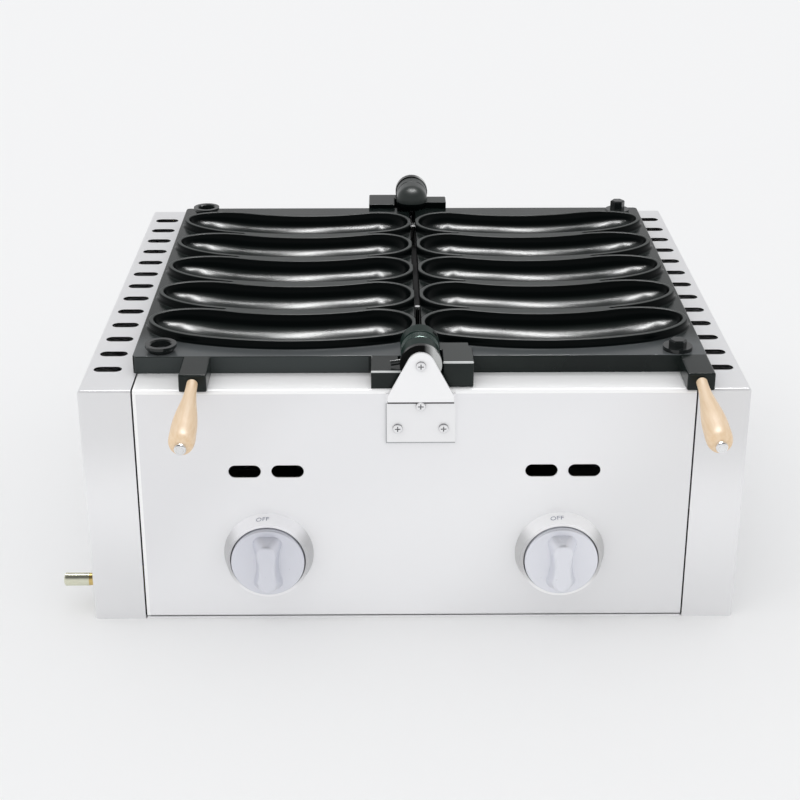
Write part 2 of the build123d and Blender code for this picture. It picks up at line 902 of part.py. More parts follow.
def build_screw(x, z, seat, length):
    """A cap-head screw driven into the front, with its head's underside at seat."""
    with BuildPart() as screw:
        with BuildSketch(facing_front(x, seat, z)):
            Circle(screw_head_radius)
        extrude(amount=screw_head_height)
        fillet(screw.edges().group_by(Axis.Y)[0], screw_head_rounding)
        with BuildSketch(facing_front(x, seat, z)):
            Circle(screw_radius)
        extrude(amount=-length)
    return screw.part


pivot_pin_front = build_pin(front - bracket_sheet, right_knuckle_end, front - bracket_sheet)
pivot_pin_rear = build_pin(rear_pin_start + knuckle_gap, back + bracket_sheet, back + bracket_sheet)
thrust_washer_front = build_ring(washer_radius, front - bracket_sheet, front + washer_overlap)
thrust_washer_rear = build_ring(washer_radius, rear_left_end + knuckle_gap, back + bracket_sheet)
hinge_spacer_ring = build_ring(knuckle_radius, spacer_start, spacer_end)
hinge_bracket_rear = mirror_piece(hinge_bracket_front.part, Plane.XZ)
pivot_plate_rear = mirror_piece(pivot_plate_front.part, Plane.XZ)

front_pivot_screw = build_screw(
    hinge_offset, hinge_height, front - bracket_sheet - pivot_plate_thickness, pivot_screw_length
)
front_bracket_screws = [
    build_screw(hinge_offset + x, casing_height + z, front - bracket_sheet, screw_length)
    for x, z in (
        (0, -bracket_screw_margin),
        (-bracket_screw_spread / 2, bracket_screw_margin - bracket_drop),
        (bracket_screw_spread / 2, bracket_screw_margin - bracket_drop),
    )
]

with BuildPart() as pivot_screws:
    add(front_pivot_screw)
    mirror(about=Plane.XZ)

with BuildPart() as bracket_screws:
    for screw in front_bracket_screws:
        add(screw)
    mirror(about=Plane.XZ)


# Gas rail behind the front panel, with its inlet through the left side
with BuildPart() as gas_rail:
    with BuildSketch(Plane.YZ.offset(-gas_rail_left)):
        with Locations((front + gas_rail_inset, gas_rail_height)):
            Rectangle(gas_rail_side, gas_rail_side)
            Circle(gas_rail_bore, mode=Mode.SUBTRACT)
    extrude(amount=gas_rail_left + gas_rail_right)
    with BuildSketch(Plane.XY.offset(gas_rail_height)):
        with Locations((0, front + inlet_port_inset)):
            with GridLocations(2 * tap_distance, 1, 2, 1):
                Circle(port_bore)
    extrude(amount=gas_rail_side, mode=Mode.SUBTRACT)


def rod_across(x_start, x_end, radius):
    """A round bar along X on the gas rail's axis."""
    with BuildPart() as rod:
        with BuildSketch(Plane.YZ.offset(x_start)):
            with Locations((front + gas_rail_inset, gas_rail_height)):
                Circle(radius)
        extrude(amount=x_end - x_start)
    return rod.part


neck_end = -casing_width / 2 - inlet_neck_proud
nipple_end = -casing_width / 2 - inlet_proud
plug_spigot = rod_across(
    gas_rail_right - fitting_spigot, gas_rail_right, gas_rail_bore - fit_clearance
)
inlet_spigot = rod_across(
    -gas_rail_left - collar_length, fitting_spigot - gas_rail_left, gas_rail_bore - fit_clearance
)
inlet_neck = rod_across(neck_end, -gas_rail_left - collar_length, inlet_neck_radius)
inlet_passage = rod_across(neck_end, fitting_spigot - gas_rail_left, inlet_bore)
nipple_tube = rod_across(nipple_end, neck_end, inlet_radius)
nipple_spigot = rod_across(neck_end, neck_end + fitting_spigot, inlet_bore - fit_clearance)
nipple_passage = rod_across(nipple_end, neck_end + fitting_spigot, nipple_bore)

with BuildPart() as rail_end_plug:
    add(plug_spigot)
    with BuildSketch(Plane.YZ.offset(gas_rail_right)):
        with Locations((front + gas_rail_inset, gas_rail_height)):
            RegularPolygon(collar_flats / 2, 6, major_radius=False)
    extrude(amount=collar_length)

with BuildPart() as gas_inlet_fitting:
    add(inlet_spigot)
    add(inlet_neck)
    with BuildSketch(Plane.YZ.offset(-gas_rail_left - collar_length)):
        with Locations((front + gas_rail_inset, gas_rail_height)):
            RegularPolygon(collar_flats / 2, 6, major_radius=False)
    extrude(amount=collar_length)
    add(inlet_passage, mode=Mode.SUBTRACT)

with BuildPart() as gas_hose_nipple:
    add(nipple_tube)
    chamfer(gas_hose_nipple.edges().group_by(Axis.X)[0], nipple_chamfer)
    add(nipple_spigot)
    add(nipple_passage, mode=Mode.SUBTRACT)

# Two angle straps that hold the rail's back to the floor pan
with BuildPart() as rail_straps:
    strap_wall = front + gas_rail_inset + gas_rail_side / 2 + sheet / 2
    strap_foot = pan_top + sheet / 2
    with BuildSketch(Plane.YZ.offset(-strap_distance)):
        with BuildLine():
            FilletPolyline(
                (strap_wall, gas_rail_height + gas_rail_side / 2),
                (strap_wall, strap_foot),
                (strap_wall + strap_reach, strap_foot),
                radius=bend_radius,
            )
        trace(line_width=sheet)
    extrude(amount=strap_width / 2, both=True)
    mirror(about=Plane.YZ)


# Gas tap: body on the rail, gland, plug with its ports, D-shaped spindle and the spring behind it
def draw_spindle(clearance):
    radius = spindle_radius + clearance
    with BuildSketch() as section:
        Circle(radius)
        with Locations((0, spindle_flat + clearance)):
            Rectangle(2 * radius, radius, align=(Align.CENTER, Align.MIN), mode=Mode.SUBTRACT)
    return section.sketch


def build_valve_body(x):
    port_y = front + inlet_port_inset
    blank = rod_between(x, tap_height, front + valve_front, front + valve_back, valve_radius)
    plug_bore = rod_between(
        x, tap_height, front + valve_front, plug_end, plug_radius + fit_clearance
    )
    outlet = rod_between(x, tap_height, plug_end, front + valve_back, outlet_radius)
    rail_face = gas_rail_height + gas_rail_side / 2
    with BuildPart() as body:
        add(blank)
        with BuildSketch(Plane.XY.offset(rail_face)):
            with Locations((x, port_y)):
                Circle(stub_radius)
        extrude(amount=tap_height - rail_face)
        add(plug_bore, mode=Mode.SUBTRACT)
        add(outlet, mode=Mode.SUBTRACT)
        with BuildSketch(Plane.XY.offset(rail_face)):
            with Locations((x, port_y)):
                Circle(port_bore)
        extrude(amount=tap_height - rail_face, mode=Mode.SUBTRACT)
    return body.part


def build_gland(x):
    flange = rod_between(x, tap_height, gland_start, front + valve_front, gland_radius)
    spigot = rod_between(x, tap_height, front + valve_front, plug_start - fit_clearance, plug_radius)
    hole = rod_between(x, tap_height, gland_start, plug_start, spindle_radius + fit_clearance)
    with BuildPart() as gland:
        add(flange)
        add(spigot)
        add(hole, mode=Mode.SUBTRACT)
    return gland.part


def build_plug(x):
    port_y = front + inlet_port_inset
    blank = rod_between(x, tap_height, plug_start, plug_end, plug_radius)
    passage = rod_between(x, tap_height, port_y, plug_end, port_bore)
    socket = draw_spindle(fit_clearance)
    with BuildPart() as plug:
        add(blank)
        add(passage, mode=Mode.SUBTRACT)
        with BuildSketch(facing_front(x, plug_start, tap_height)):
            add(socket)
        extrude(amount=-plug_socket, mode=Mode.SUBTRACT)
        with BuildSketch(Plane(origin=(x, port_y, tap_height), z_dir=(-1, 0, 0))):
            Circle(port_bore)
        extrude(amount=plug_radius, mode=Mode.SUBTRACT)
        with BuildSketch(Plane(origin=(x, port_y, tap_height), z_dir=(0, 0, 1))):
            Circle(low_port_bore)
        extrude(amount=plug_radius, mode=Mode.SUBTRACT)
    return plug.part


def build_spindle(x):
    section = draw_spindle(0)
    with BuildPart() as spindle:
        with BuildSketch(facing_front(x, spindle_end, tap_height)):
            add(section)
        extrude(amount=spindle_end - spindle_start)
    return spindle.part


def build_spring(x):
    start = spindle_end + spring_wire_radius + fit_clearance
    height = plug_start + plug_socket - spring_wire_radius - fit_clearance - start
    with BuildPart() as spring:
        with BuildLine():
            coil = Helix(
                pitch=height / spring_turns,
                height=height,
                radius=spindle_flat - spring_wire_radius - fit_clearance,
                center=(x, start, tap_height),
                direction=(0, 1, 0),
            )
        with BuildSketch(Plane(origin=coil @ 0, z_dir=coil % 0)):
            Circle(spring_wire_radius)
        sweep(path=coil, is_frenet=True)
    return spring.part


# Knob with a waisted grip, in a ring that stands on the front panel
def build_knob(x):
    flank_depth = (grip_width - grip_waist) / 2
    flank_radius = (flank_depth**2 + (grip_length / 3) ** 2) / (2 * flank_depth)
    flank_distance = grip_waist / 2 + flank_radius
    socket = draw_spindle(fit_clearance)
    with BuildPart() as knob:
        with BuildSketch(facing_front(x, knob_back, tap_height)):
            Circle(knob_radius)
        extrude(amount=knob_thickness)
        chamfer(knob.edges().group_by(Axis.Y)[0], knob_chamfer)
        with BuildSketch(facing_front(x, front - knob_front, tap_height)):
            RectangleRounded(grip_width, grip_length, grip_corner)
            with Locations((-flank_distance, 0), (flank_distance, 0)):
                Circle(flank_radius, mode=Mode.SUBTRACT)
        extrude(amount=grip_height, taper=grip_taper)
        with BuildSketch(facing_front(x, knob_back, tap_height)):
            add(socket)
        extrude(amount=spindle_in_knob, mode=Mode.SUBTRACT)
    return knob.part


def build_bezel(x):
    bore = knob_radius + bezel_bore_gap
    with BuildPart() as bezel:
        with BuildSketch(Plane.XY.offset(tap_height)):
            with BuildLine():
                Polyline(
                    (x + spindle_hole_radius, front),
                    (x + bezel_radius, front),
                    (x + bezel_front_radius, front - bezel_depth),
                    (x + bore, front - bezel_depth),
                    (x + bore, front - sheet),
                    (x + spindle_hole_radius, front - sheet),
                    close=True,
                )
            make_face()
        revolve(axis=Axis((x, 0, tap_height), (0, 1, 0)))
    return bezel.part


# Jet, tube burner with two rows of ports, and the shutter that sets its air
def build_jet(x):
    seat = front + valve_back
    spigot = rod_between(x, tap_height, seat - jet_spigot, seat, outlet_radius - fit_clearance)
    passage = rod_between(x, tap_height, seat - jet_spigot, seat + jet_length / 2, jet_passage)
    hole = rod_between(x, tap_height, seat, seat + jet_length, jet_bore)
    with BuildPart() as jet:
        add(spigot)
        with BuildSketch(facing_front(x, seat, tap_height)):
            RegularPolygon(jet_radius, 6)
        extrude(amount=-jet_length)
        chamfer(jet.edges().group_by(Axis.Y)[-1], jet_radius / 2)
        add(passage, mode=Mode.SUBTRACT)
        add(hole, mode=Mode.SUBTRACT)
    return jet.part


def build_burner(x):
    start = front + burner_start
    end = front + burner_end
    outline = (
        (mouth_radius, start),
        (mouth_radius, start + mouth_length),
        (throat_radius, front + throat_start),
        (throat_radius, front + throat_end),
        (burner_radius, front + barrel_start),
        (burner_radius, end),
    )
    outer_line = [(x + radius, y) for radius, y in outline]
    inner_line = [(x + radius - burner_wall, min(y, end - burner_wall)) for radius, y in outline]
    ends = [(x, end), (x, end - burner_wall)]
    with BuildPart() as burner:
        with BuildSketch(Plane.XY.offset(tap_height)):
            with BuildLine():
                Polyline(*outer_line, *ends, *reversed(inner_line), close=True)
            make_face()
        revolve(axis=Axis((x, 0, tap_height), (0, 1, 0)))
        ports_middle = (front + barrel_start + end) / 2
        for lean in (-port_angle, port_angle):
            lean_direction = (sin(radians(lean)), 0, cos(radians(lean)))
            lean_plane = Plane(
                origin=(x, ports_middle, tap_height), x_dir=(0, 1, 0), z_dir=lean_direction
            )
            with BuildSketch(lean_plane):
                with GridLocations(port_pitch, 1, port_rows, 1):
                    Circle(port_radius)
            extrude(amount=2 * burner_radius, mode=Mode.SUBTRACT)
    return burner.part


def build_shutter(x):
    inner_radius = mouth_radius + fit_clearance
    wall_front = front + burner_start - shutter_wall
    skirt = rod_between(
        x, tap_height, wall_front, wall_front + shutter_skirt, inner_radius + shutter_wall
    )
    hollow = rod_between(
        x, tap_height, wall_front + shutter_wall, wall_front + shutter_skirt, inner_radius
    )
    with BuildPart() as shutter:
        add(skirt)
        add(hollow, mode=Mode.SUBTRACT)
        with BuildSketch(facing_front(x, wall_front + shutter_wall, tap_height)):
            Circle(shutter_hole)
            with PolarLocations(shutter_window_distance, 4, 45):
                Circle(shutter_window)
        extrude(amount=shutter_wall, mode=Mode.SUBTRACT)
    return shutter.part


# Sheet across the floor pan with a rounded notch for each burner
def build_support(y):
    half_width = panel_half - sheet
    notch_height = tap_height - pan_top
    with BuildPart() as support:
        with BuildSketch(facing_front(0, y + sheet, pan_top)):
            Rectangle(2 * half_width, notch_height, align=(Align.CENTER, Align.MIN))
            with Locations((-tap_distance, notch_height), (tap_distance, notch_height)):
                Circle(burner_radius + fit_clearance, mode=Mode.SUBTRACT)
        extrude(amount=sheet)
        with BuildSketch(Plane.XY.offset(pan_top)):
            with Locations((0, y + support_foot / 2)):
                Rectangle(2 * half_width, support_foot)
        extrude(amount=sheet)
    return support.part


burner_support_front = build_support(front + support_front)
burner_support_rear = build_support(front + support_rear)

pieces = {
    "side_panel_left": side_panel_left,
    "side_panel_right": side_panel_right,
    "front_panel": front_panel.part,
    "rear_panel": rear_panel,
    "base_pan": base_pan.part,
    "heat_shield_left": heat_shield_left,
    "heat_shield_right": heat_shield_right,
    "centre_rail": centre_rail.part,
    "gap_pins": gap_pins.part,
    "mould_plate_left": mould_plate_left.part,
    "mould_plate_right": mould_plate_right.part,
    "locating_cups": locating_cups.part,
    "locating_studs": locating_studs.part,
    "handle_rod_left": handle_rod_left,
    "handle_rod_right": handle_rod_right,
    "handle_grip_left": handle_grip_left,
    "handle_grip_right": handle_grip_right,
    "handle_nut_left": handle_nut_left,
    "handle_nut_right": handle_nut_right,
    "hinge_bracket_front": hinge_bracket_front.part,
    "hinge_bracket_rear": hinge_bracket_rear,
    "pivot_plate_front": pivot_plate_front.part,
    "pivot_plate_rear": pivot_plate_rear,
    "pivot_pin_front": pivot_pin_front,
    "pivot_pin_rear": pivot_pin_rear,
    "thrust_washer_front": thrust_washer_front,
    "thrust_washer_rear": thrust_washer_rear,
    "hinge_spacer_ring": hinge_spacer_ring,
    "set_screw_left": set_screw_left,
    "set_screw_right": set_screw_right,
    "pivot_screws": pivot_screws.part,
    "bracket_screws": bracket_screws.part,
    "gas_rail": gas_rail.part,
    "rail_end_plug": rail_end_plug.part,
    "gas_inlet_fitting": gas_inlet_fitting.part,
    "gas_hose_nipple": gas_hose_nipple.part,
    "rail_straps": rail_straps.part,
    "burner_support_front": burner_support_front,
    "burner_support_rear": burner_support_rear,
}

# The two taps with their knobs and burners
for suffix, x in (("left", -tap_distance), ("right", tap_distance)):
    pieces["valve_body_" + suffix] = build_valve_body(x)
    pieces["valve_gland_" + suffix] = build_gland(x)
    pieces["tap_plug_" + suffix] = build_plug(x)
    pieces["valve_spindle_" + suffix] = build_spindle(x)
    pieces["valve_spring_" + suffix] = build_spring(x)
    pieces["knob_" + suffix] = build_knob(x)
    pieces["knob_bezel_" + suffix] = build_bezel(x)
    pieces["injector_jet_" + suffix] = build_jet(x)
    pieces["burner_" + suffix] = build_burner(x)
    pieces["air_shutter_" + suffix] = build_shutter(x)

for name, piece in pieces.items():
    piece.label = name
    export_step(piece, "parts/" + name + ".step")
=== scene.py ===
from math import asin, cos, pi, radians, sin, sqrt

import bpy
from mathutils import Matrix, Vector


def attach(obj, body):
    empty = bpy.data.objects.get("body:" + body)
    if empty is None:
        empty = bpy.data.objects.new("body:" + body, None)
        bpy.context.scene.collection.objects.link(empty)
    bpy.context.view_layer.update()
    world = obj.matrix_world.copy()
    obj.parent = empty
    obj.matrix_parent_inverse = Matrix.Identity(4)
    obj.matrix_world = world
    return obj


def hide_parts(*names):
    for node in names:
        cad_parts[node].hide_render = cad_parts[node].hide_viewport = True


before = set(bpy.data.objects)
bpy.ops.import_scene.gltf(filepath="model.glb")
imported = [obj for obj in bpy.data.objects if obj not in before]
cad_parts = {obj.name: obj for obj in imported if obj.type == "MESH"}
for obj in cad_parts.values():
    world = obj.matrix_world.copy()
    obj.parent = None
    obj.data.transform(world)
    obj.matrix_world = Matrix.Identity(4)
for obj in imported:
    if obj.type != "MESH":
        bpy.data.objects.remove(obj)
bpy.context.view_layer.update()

# Camera. It stands in front of the cooker, a little left of its middle, and looks down on the
# open mould plates.
camera_data = bpy.data.cameras.new("camera")
camera_data.lens = 74.5
camera_data.sensor_width = 36.0
camera = bpy.data.objects.new("camera", camera_data)
camera.location = (-0.02487, -1.56798, 0.78212)
camera.rotation_euler = (radians(66.55), 0.0, radians(-0.53))
bpy.context.scene.collection.objects.link(camera)
bpy.context.scene.camera = camera
bpy.context.scene.view_settings.view_transform = "Standard"

# Floor. A plain pale studio floor, matt, that runs on so far behind the cooker that no edge of
# it shows.
floor_size = 60.0
floor_colour = (0.925, 0.925, 0.925, 1.0)
bpy.ops.object.select_all(action="DESELECT")
bpy.ops.mesh.primitive_plane_add(size=floor_size)
floor = bpy.context.object
floor.name = "floor"
floor_finish = bpy.data.materials.new("floor_finish")
floor_finish.use_nodes = True
floor_shader = floor_finish.node_tree.nodes["Principled BSDF"]
floor_shader.inputs["Base Color"].default_value = floor_colour
floor_shader.inputs["Roughness"].default_value = 1.0
floor_shader.inputs["Specular IOR Level"].default_value = 0.0
floor.data.materials.append(floor_finish)

# Studio light. A pale room lights all that is matt. In gloss it shows pale walls that darken
# towards the ceiling behind the cooker, and a bright wall before it. One lamp gives the faint
# shadow, and four soft boxes overhead put the highlights in the moulds.
world = bpy.data.worlds.new("room")
world.use_nodes = True
bpy.context.scene.world = world
room_tree = world.node_tree
room = room_tree.nodes["Background"]
room.inputs["Strength"].default_value = 0.90
room_direction = room_tree.nodes.new("ShaderNodeTexCoord")
room_axes = room_tree.nodes.new("ShaderNodeSeparateXYZ")
room_tree.links.new(room_direction.outputs["Generated"], room_axes.inputs["Vector"])


def add_wall(tones):
    """A wall of grey tones, each at the sine of the angle over the floor where it is seen."""
    wall = room_tree.nodes.new("ShaderNodeValToRGB")
    ramp = wall.color_ramp
    while len(ramp.elements) < len(tones):
        ramp.elements.new(0.5)
    for element, (height, tone) in zip(ramp.elements, tones):
        element.position = height
        element.color = (tone, tone, tone * 1.01, 1.0)
    room_tree.links.new(room_axes.outputs["Z"], wall.inputs["Fac"])
    return wall.outputs["Color"]


back_wall = add_wall([(0.0, 0.90), (0.25, 0.84), (0.42, 0.70), (0.60, 0.45), (0.78, 0.45),
                      (0.86, 0.05)])
front_wall = add_wall([(0.0, 0.92), (0.42, 0.92), (0.66, 0.14)])
room_turn = room_tree.nodes.new("ShaderNodeMapRange")
room_turn.inputs["From Min"].default_value = 0.10
room_turn.inputs["From Max"].default_value = -0.15
room_tree.links.new(room_axes.outputs["Y"], room_turn.inputs["Value"])
room_walls = room_tree.nodes.new("ShaderNodeMix")
room_walls.data_type = "RGBA"
room_tree.links.new(room_turn.outputs["Result"], room_walls.inputs["Factor"])
room_tree.links.new(back_wall, room_walls.inputs["A"])
room_tree.links.new(front_wall, room_walls.inputs["B"])
room_ray = room_tree.nodes.new("ShaderNodeLightPath")
room_look = room_tree.nodes.new("ShaderNodeMix")
room_look.data_type = "RGBA"
room_look.inputs["A"].default_value = (0.985, 0.99, 1.0, 1.0)
room_tree.links.new(room_ray.outputs["Is Glossy Ray"], room_look.inputs["Factor"])
room_tree.links.new(room_walls.outputs["Result"], room_look.inputs["B"])
room_tree.links.new(room_look.outputs["Result"], room.inputs["Color"])


mould_middle = Vector((0.0, 0.0, 0.24))


def add_lamp(name, kind, location, energy, size, size_y=0.0):
    """A lamp that looks at the middle of the plates; size is an angle for a sun."""
    lamp_data = bpy.data.lights.new(name, kind)
    lamp_data.energy = energy
    if kind == "SUN":
        lamp_data.angle = size
    else:
        lamp_data.shape = "RECTANGLE"
        lamp_data.size = size
        lamp_data.size_y = size_y
    lamp = bpy.data.objects.new(name, lamp_data)
    lamp.location = location
    lamp.rotation_euler = (mould_middle - lamp.location).to_track_quat("-Z", "Y").to_euler()
    bpy.context.scene.collection.objects.link(lamp)
    return lamp


shadow_lamp = add_lamp("shadow_lamp", "SUN", (-1.2, -1.0, 3.2), 0.32, radians(60))
shadow_lamp.visible_glossy = False
soft_box_behind, soft_box_height, soft_box_length = 0.30, 1.505, 0.50
for x, energy, width in ((-0.128, 14.0, 0.09), (0.2025, 14.0, 0.09),
                         (-0.385, 5.0, 0.05), (0.460, 5.0, 0.05)):
    soft_box = add_lamp("soft_box", "AREA", (x, soft_box_behind, soft_box_height), energy,
                        width, soft_box_length)
    soft_box.visible_diffuse = False


# Casing of bent sheet steel: two side columns and two cross panels. The sheet is cold rolled
# stainless with a satin grain along each panel, faint clouding and painted soft diagonal shading.
casing_half, casing_reach, casing_top, panel_half = 0.290, 0.2625, 0.225, 0.2425
# Colours of painted shade and of painted highlights.
shade_black = (0.012, 0.012, 0.012)
highlight_white = (1.0, 1.0, 1.0)


def new_finish(name, colour, roughness, metallic=0.0):
    """A plain finish, with its node tree and its shader."""
    finish = bpy.data.materials.new(name)
    finish.use_nodes = True
    shader = finish.node_tree.nodes["Principled BSDF"]
    shader.inputs["Base Color"].default_value = (*colour, 1.0)
    shader.inputs["Roughness"].default_value = roughness
    shader.inputs["Metallic"].default_value = metallic
    return finish, finish.node_tree, shader


def grained_noise(tree, squeeze, scale, detail=3.0, turn=0.0):
    """Noise over the piece, squeezed along its axes and turned about the depth direction."""
    place = tree.nodes.new("ShaderNodeTexCoord")
    mapping = tree.nodes.new("ShaderNodeMapping")
    mapping.inputs["Scale"].default_value = squeeze
    mapping.inputs["Rotation"].default_value = (0.0, turn, 0.0)
    noise = tree.nodes.new("ShaderNodeTexNoise")
    noise.inputs["Scale"].default_value = scale
    noise.inputs["Detail"].default_value = detail
    tree.links.new(place.outputs["Object"], mapping.inputs["Vector"])
    tree.links.new(mapping.outputs["Vector"], noise.inputs["Vector"])
    return noise.outputs["Fac"]


def blend_colours(tree, shader, factor, low, high, start=0.35, end=0.65):
    """Colours a finish from low to high while the factor climbs from start to end."""
    ramp = tree.nodes.new("ShaderNodeValToRGB")
    ramp.color_ramp.elements[0].position = start
    ramp.color_ramp.elements[0].color = (*low, 1.0)
    ramp.color_ramp.elements[1].position = end
    ramp.color_ramp.elements[1].color = (*high, 1.0)
    tree.links.new(factor, ramp.inputs["Fac"])
    tree.links.new(ramp.outputs["Color"], shader.inputs["Base Color"])


def spread(tree, factor, start, end, low=0.0, high=1.0):
    """Climbs from low to high while the factor goes from start to end, and stays level outside."""
    span = tree.nodes.new("ShaderNodeMapRange")
    span.inputs["From Min"].default_value = start
    span.inputs["From Max"].default_value = end
    span.inputs["To Min"].default_value = low
    span.inputs["To Max"].default_value = high
    tree.links.new(factor, span.inputs["Value"])
    return span.outputs["Result"]


def multiply(tree, first, second):
    product = tree.nodes.new("ShaderNodeMath")
    product.operation = "MULTIPLY"
    tree.links.new(first, product.inputs[0])
    tree.links.new(second, product.inputs[1])
    return product.outputs["Value"]


def add_bump(tree, shader, factor, strength, distance):
    bump = tree.nodes.new("ShaderNodeBump")
    bump.inputs["Strength"].default_value = strength
    bump.inputs["Distance"].default_value = distance
    tree.links.new(factor, bump.inputs["Height"])
    tree.links.new(bump.outputs["Normal"], shader.inputs["Normal"])


def satin_steel(name, low, high, squeeze, roughness, bump=0.12, metallic=1.0, turn=0.0):
    """Brushed metal in clouds of two tones; the grain runs along the axis squeezed least."""
    finish, tree, shader = new_finish(name, high, roughness, metallic)
    grain = grained_noise(tree, squeeze, 60.0)
    clouds = grained_noise(tree, (0.7, 1.0, 2.4), 2.6, 0.5, turn)
    blend_colours(tree, shader, clouds, low, high, 0.38, 0.62)
    uneven = spread(tree, grain, 0.0, 1.0, roughness - 0.05, roughness + 0.05)
    tree.links.new(uneven, shader.inputs["Roughness"])
    add_bump(tree, shader, grain, bump, 0.0002)
    return finish


def dress_node(name, finish, sharp_angle=32.0):
    """Gives a CAD node its finish and smooth shading with crisp edges."""
    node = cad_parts[name]
    node.data.materials.clear()
    node.data.materials.append(finish)
    for polygon in node.data.polygons:
        polygon.use_smooth = True
    weld = node.modifiers.new("weld", "WELD")
    weld.merge_threshold = 0.000002
    edges = node.modifiers.new("sharp_edges", "EDGE_SPLIT")
    edges.split_angle = radians(sharp_angle)


def inside_box(tree, low, high):
    """A mask that is 1 inside a box and 0 outside it."""
    place = tree.nodes.new("ShaderNodeTexCoord")
    axes = tree.nodes.new("ShaderNodeSeparateXYZ")
    tree.links.new(place.outputs["Object"], axes.inputs["Vector"])
    inside = None
    for axis, least, most in zip("XYZ", low, high):
        for operation, limit in (("GREATER_THAN", least), ("LESS_THAN", most)):
            test = tree.nodes.new("ShaderNodeMath")
            test.operation = operation
            test.inputs[1].default_value = limit
            tree.links.new(axes.outputs[axis], test.inputs[0])
            within = test.outputs["Value"]
            inside = within if inside is None else multiply(tree, inside, within)
    return inside


def tint_where(finish, mask, colour):
    """Lays a colour over a finish where a mask is 1."""
    tree = finish.node_tree
    shader = tree.nodes["Principled BSDF"]
    tint = tree.nodes.new("ShaderNodeMix")
    tint.data_type = "RGBA"
    tint.inputs["B"].default_value = (*colour, 1.0)
    tree.links.new(mask, tint.inputs["Factor"])
    tree.links.new(shader.inputs["Base Color"].links[0].from_socket, tint.inputs["A"])
    tree.links.new(tint.outputs["Result"], shader.inputs["Base Color"])


def tint_inside(finish, low, high, colour):
    tint_where(finish, inside_box(finish.node_tree, low, high), colour)


def casing_box(half, reach, low, high):
    """A box about the casing's middle: half its width, half its depth and two heights."""
    return (-half, -reach, low), (half, reach, high)


def shade_along(finish, across, height, stops):
    """Painted shade: multiplies a finish's colour by a tone along a direction of the sheet."""
    tree = finish.node_tree
    shader = tree.nodes["Principled BSDF"]
    place = tree.nodes.new("ShaderNodeTexCoord")
    along = tree.nodes.new("ShaderNodeVectorMath")
    along.operation = "DOT_PRODUCT"
    along.inputs[1].default_value = (across, 0.0, height)
    tree.links.new(place.outputs["Object"], along.inputs[0])
    level = tree.nodes.new("ShaderNodeMath")
    level.operation = "ADD"
    level.inputs[1].default_value = 0.5
    tree.links.new(along.outputs["Value"], level.inputs[0])
    tones = tree.nodes.new("ShaderNodeValToRGB")
    tones.color_ramp.interpolation = "EASE"
    while len(tones.color_ramp.elements) < len(stops):
        tones.color_ramp.elements.new(0.5)
    for element, (position, tone) in zip(tones.color_ramp.elements, stops):
        element.position = position + 0.5
        element.color = (tone, tone, tone, 1.0)
    tree.links.new(level.outputs["Value"], tones.inputs["Fac"])
    shade = tree.nodes.new("ShaderNodeMix")
    shade.data_type = "RGBA"
    shade.blend_type = "MULTIPLY"
    shade.inputs["Factor"].default_value = 1.0
    tree.links.new(shader.inputs["Base Color"].links[0].from_socket, shade.inputs["A"])
    tree.links.new(tones.outputs["Color"], shade.inputs["B"])
    tree.links.new(shade.outputs["Result"], shader.inputs["Base Color"])


panel_steel = satin_steel("panel_steel", (0.86, 0.86, 0.875), (0.92, 0.92, 0.93),
                          (1.0, 30.0, 30.0), 0.32, metallic=0.30, turn=radians(35))
column_steel = satin_steel("column_steel", (0.88, 0.88, 0.89), (0.93, 0.93, 0.94),
                           (30.0, 1.0, 30.0), 0.32, metallic=0.30, turn=radians(-30))
# Painted shade on the fronts: darker to the lower right, and brighter halfway up the columns.
shade_along(panel_steel, 1.0, -0.8, [(-0.31, 0.955), (-0.24, 1.0), (-0.03, 1.0), (0.12, 0.90)])
shade_along(column_steel, 0.0, 1.0, [(0.02, 0.86), (0.12, 1.0), (0.19, 0.87)])
# The inner faces and the slots' edges are painted black as shade. The ledges, the front bend and
# the panel's left edge get painted white highlights.
tint_inside(panel_steel, *casing_box(casing_half + 0.01, casing_reach - 0.001,
                                     0.0, casing_top - 0.0045), shade_black)
tint_inside(panel_steel, *casing_box(casing_half + 0.01, casing_reach - 0.005,
                                     0.2, casing_top - 0.0008), shade_black)
tint_inside(panel_steel, *casing_box(casing_half + 0.01, casing_reach - 0.0037,
                                     casing_top - 0.0004, casing_top + 0.001), highlight_white)
front_bend = inside_box(panel_steel.node_tree, (-panel_half, -0.2700, casing_top - 0.0034),
                        (panel_half, -0.2588, casing_top + 0.001))
tint_where(panel_steel, front_bend, highlight_white)
tint_inside(panel_steel, (-panel_half - 0.0005, -0.2700, 0.0),
            (-panel_half + 0.0028, -0.2600, casing_top - 0.001), highlight_white)
# The columns' inner faces are painted black as shade, and their tops a darker grey as shade.
tint_inside(column_steel, *casing_box(casing_half - 0.0035, casing_reach - 0.004,
                                      -0.1, casing_top - 0.0002), shade_black)
tint_inside(column_steel, *casing_box(casing_half + 0.01, casing_reach - 0.0025,
                                      casing_top - 0.0002, casing_top + 0.001),
            (0.765, 0.765, 0.775))
# The satin steel is part mirror and part pale haze, and the front bend is nearly all haze.
panel_steel.node_tree.links.new(
    spread(panel_steel.node_tree, front_bend, 0.0, 1.0, 0.30, 0.02),
    panel_steel.node_tree.nodes["Principled BSDF"].inputs["Metallic"])
for name in ("front_panel", "rear_panel"):
    dress_node(name, panel_steel)
for name in ("side_panel_left", "side_panel_right"):
    dress_node(name, column_steel)
